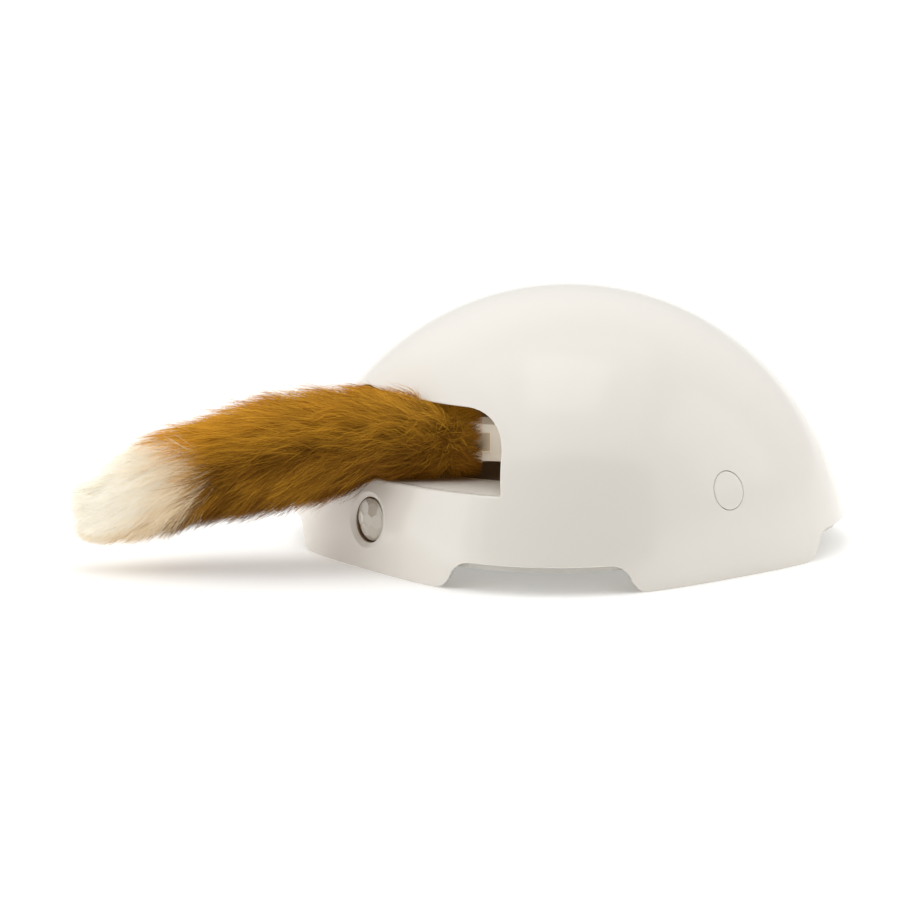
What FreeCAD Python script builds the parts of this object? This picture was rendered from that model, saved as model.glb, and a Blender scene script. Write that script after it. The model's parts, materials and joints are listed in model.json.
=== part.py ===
import FreeCAD, Part
import math
import os
from FreeCAD import Vector

# Electronic hide-and-seek cat toy: a four-footed dome with one den opening in front, a motion
# sensor below it, a push button on the +X side, and a stuffed tail on a motor-driven arm.
# Millimetres. Origin on the dome's axis at the table, +Z up, the den opening faces -Y.

# Dome: a spherical bell whose four faces are drawn in towards the table
DOME_HEIGHT = 106.5
CORNER_RADIUS = 117.65
FACE_DRAW_IN = 11.84
FACE_FADE_HEIGHT = 92.0
FACE_FADE_POWER = 1.3
WALL = 2.5
CROWN_FLAT = 0.04
INNER_SIDES = 48
INNER_LEVELS = 9
SPHERE_CENTRE_Z = (DOME_HEIGHT ** 2 - CORNER_RADIUS ** 2) / (2 * DOME_HEIGHT)
SPHERE_RADIUS = DOME_HEIGHT - SPHERE_CENTRE_Z

# Feet under the four faces, arches under the four corners
FOOT_HALF = 42.0
FOOT_RAMP = 16.0
ARCH_HEIGHT = 11.5

# Den opening in the front face
LIP_Z = 37.5
OPENING_HALF = 62.9
OPENING_SHOULDER = 53.1
OPENING_SHOULDER_Z = 60.8
OPENING_TOP_Z = 68.5
OPENING_ROUND = 15.0

# Clearances
SEAT_GAP = 0.4
RUN_GAP = 0.05
SOFT_GAP = 0.3
THIN_GAP = 0.1

# How far a cutting tool's shape runs past the face that it cuts
CUT_MARGIN = 1.0

# Den floor, its shallow round well and the turntable disc that lies flush in it
FLOOR_THICK = 2.5
WELL_RADIUS = 75.0
WELL_WALL = 1.6
DISC_THICK = 1.7
WELL_FLOOR = 1.4
WELL_GAP = 0.3

# Base cover
BASE_TOP_Z = 11.5
BASE_THICK = 2.5
BASE_RIB = 1.6
BASE_RIB_HEIGHT = 3.0
BASE_RIB_LENGTH = 14.0

# Screws that hold the dome and the den floor to the base cover
SCREW_RADIUS = 1.3
SCREW_LENGTH = 19.0
SCREW_HEAD_RADIUS = 2.8
SCREW_HEAD = 1.6
DOME_BOSS_RADIUS = 4.0
DOME_BOSS_WEB = 2.7
FLOOR_POST_X = 62.0
FLOOR_POST_Y = 50.0
FLOOR_POST_RADIUS = 3.6
FLOOR_POST_SPLIT_Z = 20.0

# Motion sensor in the front face
LENS_Z = 20.4
LENS_RADIUS = 9.0
LENS_HOLE_GAP = 0.25
LENS_FLANGE_RADIUS = 10.8
LENS_FLANGE_THICK = 1.3
LENS_BARREL = 5.0
LENS_SINK = 1.8
LENS_CROWN = 1.6
LENS_SIDES = 12
LENS_FLATS_OUTER = 0.68
LENS_FLATS_INNER = 0.3
DISH_RADIUS = 11.5
DISH_DEPTH = 1.1
HOLDER_WALL = 1.6
HOLDER_LENGTH = 10.4
SENSOR_CAN_RADIUS = 4.6
SENSOR_CAN_LENGTH = 4.4
SENSOR_BRIM = 0.7
SENSOR_BOARD_HALF = 12.0
SENSOR_BOARD_HEIGHT = 20.0
HOLDER_FOOT = 3.0
BOARD_THICK = 1.6

# Push button in the +X face
BUTTON_Z = 35.3
BUTTON_RADIUS = 7.5
BUTTON_GAP = 0.25
BUTTON_TRAVEL = 1.0
BUTTON_DEPTH = 8.6
BUTTON_FLANGE_RADIUS = 9.2
BUTTON_FLANGE = 1.6
BUTTON_STEM_RADIUS = 2.5
BUTTON_STEM = 2.2
POD_DEPTH = 20.2
POD_HALF = 13.0
POD_WALL = 1.6
POD_TOP_Z = 47.0
POD_RAIL = 3.0
BUTTON_BOARD_DEPTH = 17.6
BUTTON_BOARD_HALF = 9.5
BUTTON_BOARD_DROP = 8.3
BUTTON_BOARD_RISE = 7.7
PLUNGER_GAP = 0.1
SWITCH_SIDE = 6.0
SWITCH_BODY = 3.5
SWITCH_PLUNGER_RADIUS = 1.75

# Batteries, their box in the base cover and its door
CELL_RADIUS = 7.1
CELL_LENGTH = 50.2
CELL_PITCH = 15.4
CELL_COUNT = 3
CELL_Z = 19.2
BOX_END_GAP = 3.9
BOX_REAR_ROOM = 15.3
BOX_SIDE_GAP = 1.1
BOX_WALL = 1.8
CELL_CAP_RADIUS = 2.7
CELL_CAP = 1.1
CONTACT_SIDE = 11.0
CONTACT_THICK = 0.6
CONTACT_TONGUE = 4.0
DOOR_THICK = 1.8
DOOR_SINK = 0.2
DOOR_OVERLAP = 2.0
DOOR_NOTCH_RADIUS = 6.0
DOOR_NOTCH_INSET = 1.5
DOOR_NOTCH_DEPTH = 0.9
DOOR_BARREL_RADIUS = 1.7
DOOR_PIN_RADIUS = 0.8
DOOR_BARREL_HALF = 14.6
DOOR_LUG = 5.0
DOOR_LUG_SEAT = 0.4
DOOR_AXIS_Z = 9.7

# Drive: gear motor, pinion, output gear, spindle and bush
MODULE = 1.0
TOOTH_TIP = 0.9
TOOTH_ROOT = 1.25
PRESSURE_ANGLE = 20.0
PINION_TEETH = 14
GEAR_TEETH = 42
GEAR_THICK = 2.6
GEAR_Z = 31.0
GEAR_HUB_RADIUS = 7.0
GEAR_HUB_DROP = 3.0
BACKLASH = 0.28
SPINDLE_RADIUS = 3.0
SPINDLE_FOOT_Z = 14.0
SPINDLE_TOP_Z = 58.0
SOCKET_RADIUS = 6.5
SOCKET_TOP_Z = 20.0
BUSH_RADIUS = 6.0
CASE_HALF_X = 11.0
CASE_BACK_Y = 12.0
CASE_FRONT_Y = -37.0
CASE_BOTTOM_Z = 13.5
CASE_TOP_Z = 30.7
MOTOR_RADIUS = 10.0
MOTOR_FLAT = 7.7
MOTOR_LENGTH = 25.0
MOTOR_SHAFT_RADIUS = 2.0
MOTOR_SHAFT_DEPTH = 8.0
MOTOR_BOSS_RADIUS = 3.0
MOTOR_BOSS = 1.5
CASE_ROUND = 2.0
CASE_SCREW_RADIUS = 1.4
CASE_SCREW_HEAD_RADIUS = 2.7
CASE_SCREW_HEAD = 1.5
CASE_SCREW_SIDE = 3.0
CASE_SCREW_END = 4.0
CASE_TUBE_WALL = 1.0

# Main circuit board
MAIN_BOARD_X = (30.0, 80.0)
MAIN_BOARD_HALF_Y = 36.0
MAIN_BOARD_Z = 14.0
MAIN_BOARD_ROUND = 2.0
STAND_RADIUS = 2.5
STAND_INSET = 4.0
CHIP_SIDE = 11.0
CHIP_THICK = 1.6
DRIVER_LENGTH = 6.0
DRIVER_WIDTH = 5.0
PLUG_SOCKET = 8.0
PLUG_SOCKET_WIDE = 10.0
PLUG_SOCKET_TALL = 6.0
CAPACITOR_RADIUS = 3.2
CAPACITOR_TALL = 9.0
PART_SPACING = 18.0

# Tail arm: hub on the spindle, bar, and the fork that holds the tail's swivel pin
PIVOT_REACH = 70.0
PIVOT_AZIMUTH = 20.3
TAIL_Z = 52.92
HUB_RADIUS = 15.0
HUB_TOP_RADIUS = 12.0
HUB_TOP_Z = 62.0
HUB_SKIRT = 4.0
BAR_AZIMUTH = 34.3
BAR_REACH = 66.0
BAR_HALF = 7.0
BAR_TOP_Z = 58.0
FORK_HALF = 8.0
FORK_TOP_Z = 60.4
FLANGE_BOTTOM_Z = 45.4
FLANGE_TOP_Z = 48.6
FLANGE_SHORT = 2.0
EYE_RADIUS = 7.5
EYE_THICK = 7.3
TAIL_PIN_RADIUS = 2.0
TAIL_PIN_TOP_Z = 58.4
TAIL_PIN_HEAD_RADIUS = 3.6
TAIL_PIN_HEAD = 1.5
CAP_SCREW_HEAD_RADIUS = 2.4
CAP_SCREW_REACH = 6.5
CAP_SCREW_STEP = 4.2
CAP_SCREW_GRIP = 6.0
TONGUE_HALF = 5.0
PLUG_LENGTH = 15.0

# Tail: four stuffed lengths that swell and taper, hinged end to end. Each joint leans the next
# length sideways and up at once, so its axis lies between the upright and the level.
TAIL_HEADING = -37.4
TAIL_LENGTHS = (67.0, 33.6, 33.6, 33.6)
TAIL_PITCH = (0.0, -9.0, -19.0, -22.0)
TAIL_YAW = (-95.83, 18.0, -59.13, -56.12)
TAIL_LIFT = (0.0, 13.69, 13.79, 17.19)
TAIL_ROOT_START = 9.6
TAIL_SIDES = 20
TAIL_RADII = (
    ((9.6, 9.6), (18.0, 11.5), (38.0, 12.0), (67.0, 12.4)),
    ((0.0, 12.4), (16.0, 12.5), (33.6, 12.2)),
    ((0.0, 12.2), (16.0, 12.2), (33.6, 11.5)),
    ((0.0, 11.5), (17.0, 11.4), (27.0, 9.2), (31.8, 6.2), (33.6, 3.4)),
)
BACK_SWEEP = 0.2
BEVEL_MARGIN = 8.0
KNUCKLE_RADIUS = 3.0
KNUCKLE_HALF = 9.0


def box(x0, x1, y0, y1, z0, z1):
    return Part.makeBox(x1 - x0, y1 - y0, z1 - z0, Vector(x0, y0, z0))


def rod(radius, start, direction, length):
    return Part.makeCylinder(radius, length, start, direction)


def upright(radius, x, y, z0, z1):
    return rod(radius, Vector(x, y, z0), Vector(0, 0, 1), z1 - z0)


def fused(first, *others):
    return first.multiFuse(list(others)).removeSplitter()


def polygon_prism(points, depth):
    return Part.Face(Part.makePolygon(points + points[:1])).extrude(depth)


def save(name, shape):
    if not shape.isValid():
        print("not valid:", name)
    shape.exportStep("parts/%s.step" % name)
    print("%s: %d solids, %.2f cm3" % (name, len(shape.Solids), shape.Volume / 1000.0))


def on_circle(reach, azimuth, z=0.0):
    """Point at a plan distance from the axis; azimuth counts from -Y towards +X."""
    angle = math.radians(azimuth)
    return Vector(reach * math.sin(angle), -reach * math.cos(angle), z)


def skin_radius(azimuth, z, inset=0.0):
    """Distance of the dome's skin from the axis at a height, set in by a wall's thickness."""
    sphere = math.sqrt(max((SPHERE_RADIUS - inset) ** 2 - (z - SPHERE_CENTRE_Z) ** 2, 0.0))
    fade = max(1.0 - z / FACE_FADE_HEIGHT, 0.0) ** FACE_FADE_POWER
    return sphere - FACE_DRAW_IN * (0.5 + 0.5 * math.cos(math.radians(4 * azimuth))) * fade


def skin_quarter(quarter, around=5, up=7):
    """One quarter of the dome's outer skin, from the middle of one face to the next."""
    low = math.acos(-SPHERE_CENTRE_Z / SPHERE_RADIUS)
    high = math.acos((DOME_HEIGHT - CROWN_FLAT - SPHERE_CENTRE_Z) / SPHERE_RADIUS)
    grid = []
    for i in range(around):
        azimuth = 90.0 * quarter + 90.0 * i / (around - 1)
        row = []
        for j in range(up):
            tilt = low + (high - low) * j / (up - 1.0)
            z = SPHERE_CENTRE_Z + SPHERE_RADIUS * math.cos(tilt)
            row.append(on_circle(skin_radius(azimuth, z), azimuth, z))
        grid.append(row)
    surface = Part.BSplineSurface()
    surface.interpolate(grid)
    return surface.toShape()


def dome_solid():
    """The full outer form of the dome, closed at the table and at the crown."""
    quarters = [skin_quarter(k) for k in range(4)]
    lids = []
    for pick in (min, max):
        edges = [pick(face.Edges, key=lambda edge: edge.CenterOfMass.z) for face in quarters]
        lids.append(Part.Face(Part.Wire(Part.__sortEdges__(edges))))
    shell = Part.makeShell(quarters + lids)
    shell.sewShape()
    return Part.Solid(shell)


def inner_solid(inset):
    """The hollow inside the dome's wall: level many-sided sections at even steps of slope."""
    radius = SPHERE_RADIUS - inset
    low = math.acos(-(SPHERE_CENTRE_Z + SOFT_GAP) / radius)
    sections = []
    for j in range(INNER_LEVELS):
        tilt = low * (1.0 - j / float(INNER_LEVELS)) ** 1.1
        z = SPHERE_CENTRE_Z + radius * math.cos(tilt)
        points = []
        for k in range(INNER_SIDES):
            azimuth = 360.0 * k / INNER_SIDES
            points.append(on_circle(skin_radius(azimuth, z, inset), azimuth, z))
        sections.append(Part.makePolygon(points + points[:1]))
    return Part.makeLoft(sections, True, True)


def plate_inside(inset, z0, z1):
    """Flat plate between two heights whose edge follows the hollow."""
    reach = CORNER_RADIUS
    return inner_solid(inset).common(box(-reach, reach, -reach, reach, z0, z1))


def arch_cutter():
    """What is cut off below the arches: all but four feet with S-shaped ramps."""
    reach = 1.2 * CORNER_RADIUS
    tilt = math.atan2(ARCH_HEIGHT, FOOT_RAMP)
    radius = (FOOT_RAMP ** 2 + ARCH_HEIGHT ** 2) / (4 * ARCH_HEIGHT)
    half_x = radius * math.sin(tilt)
    half_z = radius * (1 - math.cos(tilt))

    def foot_bar():
        edges = []
        for side in (1, -1):
            a = Vector(side * FOOT_HALF, 0, 0)
            b = Vector(side * (FOOT_HALF + half_x), 0, half_z)
            middle = Vector(side * (FOOT_HALF + FOOT_RAMP / 2), 0, ARCH_HEIGHT / 2)
            c = Vector(side * (FOOT_HALF + FOOT_RAMP - half_x), 0, ARCH_HEIGHT - half_z)
            end = Vector(side * (FOOT_HALF + FOOT_RAMP), 0, ARCH_HEIGHT)
            edges += [Part.Arc(a, b, middle).toShape(), Part.Arc(middle, c, end).toShape()]
        left = Vector(-FOOT_HALF, 0, 0)
        right = Vector(FOOT_HALF, 0, 0)
        drop = Vector(0, 0, -2 * CUT_MARGIN)
        lift = Vector(0, 0, ARCH_HEIGHT + CUT_MARGIN)
        across = Vector(FOOT_HALF + FOOT_RAMP, 0, 0)
        edges.append(Part.makePolygon([right, right + drop, left + drop, left]))
        ends = [Vector(across.x, 0, ARCH_HEIGHT), across + lift, lift - across]
        edges.append(Part.makePolygon(ends + [Vector(-across.x, 0, ARCH_HEIGHT)]))
        flat = []
        for edge in edges:
            flat += edge.Edges
        wire = Part.Wire(Part.__sortEdges__(flat))
        return Part.Face(wire).extrude(Vector(0, 2 * reach, 0)).translated(Vector(0, -reach, 0))

    bar = foot_bar()
    crossed = bar.copy()
    crossed.rotate(Vector(0, 0, 0), Vector(0, 0, 1), 90)
    slab = box(-reach, reach, -reach, reach, -CUT_MARGIN, ARCH_HEIGHT)
    return slab.cut(bar).cut(crossed)


def opening_prism():
    """The den opening: flat lip, leaning sides, rounded shoulders and an arched top."""
    reach = 1.2 * CORNER_RADIUS
    lip = Vector(OPENING_HALF, -reach, LIP_Z)
    shoulder = Vector(OPENING_SHOULDER, -reach, OPENING_SHOULDER_Z)
    crown = Vector(0, -reach, OPENING_TOP_Z)
    lip2 = Vector(-lip.x, lip.y, lip.z)
    shoulder2 = Vector(-shoulder.x, shoulder.y, shoulder.z)
    edges = [
        Part.LineSegment(lip2, lip).toShape(),
        Part.LineSegment(lip, shoulder).toShape(),
        Part.Arc(shoulder, crown, shoulder2).toShape(),
        Part.LineSegment(shoulder2, lip2).toShape(),
    ]
    prism = Part.Face(Part.Wire(edges)).extrude(Vector(0, reach - WELL_RADIUS, 0))
    corners = []
    for edge in prism.Edges:
        middle = edge.CenterOfMass
        along_y = abs(edge.Vertexes[0].Y - edge.Vertexes[-1].Y) > WALL
        if along_y and middle.z > LIP_Z + WALL:
            corners.append(edge)
    return prism.makeFillet(OPENING_ROUND, corners)


LENS_AXIS = Vector(0, -1, 0)
BUTTON_AXIS = Vector(1, 0, 0)
LENS_OUTER_Y = skin_radius(0.0, LENS_Z)
LENS_RIM = LENS_OUTER_Y - LENS_SINK
LENS_FLANGE_BACK = LENS_RIM - LENS_BARREL
BUTTON_OUTER_X = skin_radius(90.0, BUTTON_Z)
BUTTON_FLANGE_X = BUTTON_OUTER_X - BUTTON_DEPTH
BUTTON_BOARD_X = BUTTON_OUTER_X - BUTTON_BOARD_DEPTH
POD_X = BUTTON_OUTER_X - POD_DEPTH
BOX_BACK_Y = skin_radius(180.0, BASE_TOP_Z, WALL) - BOX_REAR_ROOM
CELL_START_Y = BOX_BACK_Y - BOX_END_GAP - CELL_LENGTH


def lens_rod(radius, back, front):
    """Cylinder on the sensor's axis between two distances from the dome's axis."""
    return rod(radius, Vector(0, -back, LENS_Z), LENS_AXIS, front - back)


def button_rod(radius, back, front):
    return rod(radius, Vector(back, 0, BUTTON_Z), BUTTON_AXIS, front - back)


def dome_boss_reach():
    return skin_radius(45.0, LIP_Z, WALL) - DOME_BOSS_RADIUS - DOME_BOSS_WEB


def dome_bosses(outer):
    """Four screw bosses on webs that reach the wall at the corners, from base to den floor."""
    bottom = BASE_TOP_Z
    top = LIP_Z - FLOOR_THICK
    pieces = []
    for k in range(4):
        azimuth = 45.0 + 90.0 * k
        centre = on_circle(dome_boss_reach(), azimuth, bottom)
        boss = upright(DOME_BOSS_RADIUS, centre.x, centre.y, bottom, top)
        web = box(-BASE_RIB / 2, BASE_RIB / 2, dome_boss_reach(), CORNER_RADIUS, bottom, top)
        web.rotate(Vector(0, 0, 0), Vector(0, 0, 1), 180.0 + azimuth)
        hole = upright(SCREW_RADIUS, centre.x, centre.y, bottom, screw_tip_z())
        pieces.append(boss.fuse(web).common(outer).cut(hole))
    return pieces


def screw_tip_z():
    return BASE_TOP_Z - BASE_THICK + SCREW_LENGTH


def dome_shell(outer):
    """Moulded dome: even wall, den opening, arches, sensor and button holes, corner bosses."""
    shell = outer.cut(inner_solid(WALL))
    shell = shell.cut(opening_prism())
    shell = shell.cut(arch_cutter())
    shell = shell.cut(lens_rod(LENS_RADIUS + LENS_HOLE_GAP, WELL_RADIUS, CORNER_RADIUS))
    dish_back = LENS_OUTER_Y - DISH_DEPTH
    dish = Part.makeCone(LENS_RADIUS + LENS_HOLE_GAP, DISH_RADIUS + DISH_DEPTH,
                         2 * DISH_DEPTH, Vector(0, -dish_back, LENS_Z), LENS_AXIS)
    shell = shell.cut(dish)
    shell = shell.cut(button_rod(BUTTON_RADIUS + BUTTON_GAP, WELL_RADIUS, CORNER_RADIUS))
    return shell.multiFuse(dome_bosses(outer))


def well_bottom_z():
    return LIP_Z - DISC_THICK - WELL_GAP - WELL_FLOOR


def den_floor():
    """White tray of the den: plate, round well, screw posts, and the pod behind the button."""
    top = LIP_Z
    under = LIP_Z - FLOOR_THICK
    plate = plate_inside(WALL + SEAT_GAP, under, top)
    bottom = well_bottom_z()
    outer_wall = WELL_RADIUS + WELL_GAP + WELL_WALL
    well = upright(outer_wall, 0, 0, bottom, top)
    pod = box(POD_X, CORNER_RADIUS, -POD_HALF, POD_HALF, under, POD_TOP_Z)
    pod = pod.common(inner_solid(WALL + SEAT_GAP))
    tray = fused(plate, well, pod)
    tray = tray.cut(upright(WELL_RADIUS + WELL_GAP, 0, 0, bottom + WELL_FLOOR, top + CUT_MARGIN))
    tray = tray.cut(upright(BUSH_RADIUS, 0, 0, bottom - CUT_MARGIN, top))
    inside = POD_HALF - POD_WALL
    pod_roof = POD_TOP_Z - POD_WALL
    room = box(POD_X + POD_WALL, CORNER_RADIUS, -inside, inside, under - CUT_MARGIN, pod_roof)
    tray = tray.cut(room)
    rails = []
    for y in (-inside, inside - POD_RAIL):
        rails.append(box(POD_X + POD_WALL, BUTTON_BOARD_X, y, y + POD_RAIL, under, pod_roof))
    posts = []
    for x, y in floor_post_places():
        post = upright(FLOOR_POST_RADIUS, x, y, FLOOR_POST_SPLIT_Z, under)
        posts.append(post.cut(upright(SCREW_RADIUS, x, y, FLOOR_POST_SPLIT_Z, screw_tip_z())))
    tubes = []
    for x, y in case_screw_places():
        tube = upright(CASE_SCREW_RADIUS + CASE_TUBE_WALL, x, y, CASE_TOP_Z, bottom)
        tubes.append(tube.cut(upright(CASE_SCREW_RADIUS, x, y, CASE_TOP_Z, bottom)))
    return tray.multiFuse(rails + posts + tubes)


def floor_post_places():
    return [(x, y) for x in (-FLOOR_POST_X, FLOOR_POST_X) for y in (-FLOOR_POST_Y, FLOOR_POST_Y)]


def case_screw_places():
    left = -pinion_distance() - CASE_HALF_X + CASE_SCREW_SIDE
    right = -pinion_distance() + CASE_HALF_X - CASE_SCREW_END
    front = CASE_FRONT_Y + CASE_SCREW_END
    return [(left, CASE_BACK_Y - CASE_SCREW_END), (left, front), (right, front)]


def pinion_distance():
    return MODULE * (PINION_TEETH + GEAR_TEETH) / 2.0


def box_limits():
    """Inside of the battery box: half width, front, back and roof."""
    half = CELL_PITCH * (CELL_COUNT - 1) / 2.0 + CELL_RADIUS + BOX_SIDE_GAP
    front = CELL_START_Y - BOX_END_GAP
    return half, front, BOX_BACK_Y, CELL_Z + CELL_RADIUS + BOX_SIDE_GAP


def door_axis_y():
    return box_limits()[2] + DOOR_BARREL_RADIUS


def cell_places():
    return [CELL_PITCH * (k - (CELL_COUNT - 1) / 2.0) for k in range(CELL_COUNT)]


def base_cover():
    """Flat base with ribs, battery box, spindle socket, screw posts and board stand-offs."""
    bottom = BASE_TOP_Z - BASE_THICK
    plate = plate_inside(WALL + SEAT_GAP, bottom, BASE_TOP_Z)
    half, front, back, roof = box_limits()
    side = half + BOX_WALL
    outer_box = box(-side, side, front - BOX_WALL, back + BOX_WALL, bottom, roof + BOX_WALL)
    posts = []
    for x, y in floor_post_places():
        posts.append(upright(FLOOR_POST_RADIUS, x, y, BASE_TOP_Z, FLOOR_POST_SPLIT_Z))
    socket = upright(SOCKET_RADIUS, 0, 0, BASE_TOP_Z, SOCKET_TOP_Z)
    rib_top = BASE_TOP_Z + BASE_RIB_HEIGHT
    half_rib = BASE_RIB / 2
    ribs = []
    for x, y in floor_post_places():
        far_x = math.copysign(abs(x) + BASE_RIB_LENGTH, x)
        far_y = math.copysign(abs(y) + BASE_RIB_LENGTH, y)
        x0, x1 = sorted((x, far_x))
        y0, y1 = sorted((y, far_y))
        ribs.append(box(x0, x1, y - half_rib, y + half_rib, BASE_TOP_Z, rib_top))
        ribs.append(box(x - half_rib, x + half_rib, y0, y1, BASE_TOP_Z, rib_top))
    stands = []
    stand_y = MAIN_BOARD_HALF_Y - STAND_INSET
    for x in (MAIN_BOARD_X[0] + STAND_INSET, MAIN_BOARD_X[1] - STAND_INSET):
        for y in (-stand_y, stand_y):
            stands.append(upright(STAND_RADIUS, x, y, BASE_TOP_Z, MAIN_BOARD_Z))
    cover = fused(plate, outer_box, socket, *(posts + ribs + stands))
    cover = cover.cut(box(-half, half, front, back, bottom - CUT_MARGIN, roof))
    cover = cover.cut(upright(SPINDLE_RADIUS + RUN_GAP, 0, 0, SPINDLE_FOOT_Z, SOCKET_TOP_Z))
    for x, y in screw_places():
        cover = cover.cut(upright(SCREW_RADIUS, x, y, bottom, FLOOR_POST_SPLIT_Z))
    back_of_flange = LENS_FLANGE_BACK - SEAT_GAP
    cover = cover.cut(lens_rod(LENS_FLANGE_RADIUS + SEAT_GAP, back_of_flange, CORNER_RADIUS))
    axis_y = door_axis_y()
    slot = DOOR_BARREL_HALF + SEAT_GAP + DOOR_LUG
    reach = DOOR_BARREL_RADIUS + SEAT_GAP
    lug_top = BASE_TOP_Z + DOOR_LUG_SEAT
    hinge_room = box(-slot, slot, axis_y - reach, axis_y + reach, bottom - CUT_MARGIN, lug_top)
    cover = cover.cut(hinge_room)
    lugs = []
    for side in (-1, 1):
        start = side * (DOOR_BARREL_HALF + SEAT_GAP)
        x0, x1 = sorted((start, start + side * DOOR_LUG))
        lug = rod(DOOR_BARREL_RADIUS, Vector(x0, axis_y, DOOR_AXIS_Z), Vector(1, 0, 0), x1 - x0)
        seat = box(x0, x1, axis_y, axis_y + reach + SEAT_GAP, DOOR_AXIS_Z, lug_top)
        lugs.append(lug.fuse(seat))
    cover = fused(cover, *lugs)
    pin_hole = rod(DOOR_PIN_RADIUS, Vector(-slot, axis_y, DOOR_AXIS_Z), Vector(1, 0, 0), 2 * slot)
    return cover.cut(pin_hole)


def battery_door():
    """Door under the cells: a flat plate with a hinge barrel and a finger notch."""
    half, front, back, roof = box_limits()
    bottom = BASE_TOP_Z - BASE_THICK
    axis_y = door_axis_y()
    z0 = bottom + DOOR_SINK
    z1 = z0 + DOOR_THICK
    plate = box(-half + SEAT_GAP, half - SEAT_GAP, front + SEAT_GAP, back - SEAT_GAP, z0, z1)
    web = box(-DOOR_BARREL_HALF, DOOR_BARREL_HALF, back - DOOR_OVERLAP, axis_y, z0, z1)
    barrel = rod(DOOR_BARREL_RADIUS, Vector(-DOOR_BARREL_HALF, axis_y, DOOR_AXIS_Z), Vector(1, 0, 0),
                 2 * DOOR_BARREL_HALF)
    door = fused(plate, web, barrel)
    notch_y = front - DOOR_NOTCH_INSET
    notch = upright(DOOR_NOTCH_RADIUS, 0, notch_y, z0 - CUT_MARGIN, z0 + DOOR_NOTCH_DEPTH)
    hole_start = Vector(-DOOR_BARREL_HALF, axis_y, DOOR_AXIS_Z)
    hole = rod(DOOR_PIN_RADIUS + RUN_GAP, hole_start, Vector(1, 0, 0), 2 * DOOR_BARREL_HALF)
    return door.cut(notch).cut(hole)


def door_pin():
    slot = DOOR_BARREL_HALF + SEAT_GAP + DOOR_LUG
    return rod(DOOR_PIN_RADIUS, Vector(-slot, door_axis_y(), DOOR_AXIS_Z), Vector(1, 0, 0), 2 * slot)


def batteries():
    """Cells side by side, each with the small raised cap of its plus end, turned in pairs."""
    cells = []
    along = Vector(0, 1, 0)
    for k, x in enumerate(cell_places()):
        body_start = CELL_START_Y + (CELL_CAP if k % 2 else 0.0)
        body = rod(CELL_RADIUS, Vector(x, body_start, CELL_Z), along, CELL_LENGTH - CELL_CAP)
        cap_start = CELL_START_Y if k % 2 else CELL_START_Y + CELL_LENGTH - CELL_CAP
        cells.append(body.fuse(rod(CELL_CAP_RADIUS, Vector(x, cap_start, CELL_Z), along, CELL_CAP)))
    return Part.makeCompound(cells)


def battery_contacts():
    """A plate at each end of each cell, with a tongue folded up into a spring against the cell."""
    half, front, back, roof = box_limits()
    half_side = CONTACT_SIDE / 2
    half_tongue = CONTACT_TONGUE / 2
    pieces = []
    for x in cell_places():
        for wall_y, cell_y in ((front, CELL_START_Y), (back, CELL_START_Y + CELL_LENGTH)):
            way = math.copysign(CONTACT_THICK, cell_y - wall_y)
            y0, y1 = sorted((wall_y, wall_y + way))
            plate = box(x - half_side, x + half_side, y0, y1, CELL_Z - half_side, CELL_Z + half_side)
            foot = Vector(x - half_tongue, wall_y + way, CELL_Z)
            tip = Vector(foot.x, cell_y, CELL_Z)
            wide = Vector(0, 0, CONTACT_TONGUE)
            narrow = Vector(0, 0, half_tongue)
            fold = [foot - wide, tip - narrow, tip + narrow, foot + wide]
            spring = polygon_prism(fold, Vector(CONTACT_TONGUE, 0, 0))
            pieces.append(plate.fuse(spring))
    return Part.makeCompound(pieces)


def screw_places():
    places = list(floor_post_places())
    for k in range(4):
        corner = on_circle(dome_boss_reach(), 45.0 + 90.0 * k)
        places.append((corner.x, corner.y))
    return places


def base_screws():
    """Pan-head screws, four into the dome's bosses and four into the den floor's posts."""
    seat = BASE_TOP_Z - BASE_THICK
    screws = []
    for x, y in screw_places():
        shank = upright(SCREW_RADIUS, x, y, seat, screw_tip_z())
        head = upright(SCREW_HEAD_RADIUS, x, y, seat - SCREW_HEAD, seat)
        screws.append(shank.fuse(head))
    return Part.makeCompound(screws)


def motion_lens():
    """Milky sensor window: flanged barrel with a faceted crown in two rings of flats."""
    flange = lens_rod(LENS_FLANGE_RADIUS, LENS_FLANGE_BACK, LENS_FLANGE_BACK + LENS_FLANGE_THICK)
    wide = 2 * LENS_FLANGE_RADIUS
    flange = flange.cut(box(-wide, wide, -CORNER_RADIUS, 0, 0, BASE_TOP_Z + SOFT_GAP))
    barrel = lens_rod(LENS_RADIUS, LENS_FLANGE_BACK, LENS_RIM)

    def ring(radius, reach):
        points = []
        for k in range(LENS_SIDES):
            angle = math.radians(360.0 * (k + 0.5) / LENS_SIDES)
            points.append(Vector(radius * math.cos(angle), -reach, LENS_Z + radius * math.sin(angle)))
        return Part.makePolygon(points + points[:1])

    slope = 1.0 - LENS_FLATS_OUTER / 2.0
    rings = [ring(LENS_RADIUS, LENS_RIM)]
    rings.append(ring(LENS_RADIUS * LENS_FLATS_OUTER, LENS_RIM + LENS_CROWN * slope))
    rings.append(ring(LENS_RADIUS * LENS_FLATS_INNER, LENS_RIM + LENS_CROWN))
    return fused(barrel, flange, Part.makeLoft(rings, True, True))


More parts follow.
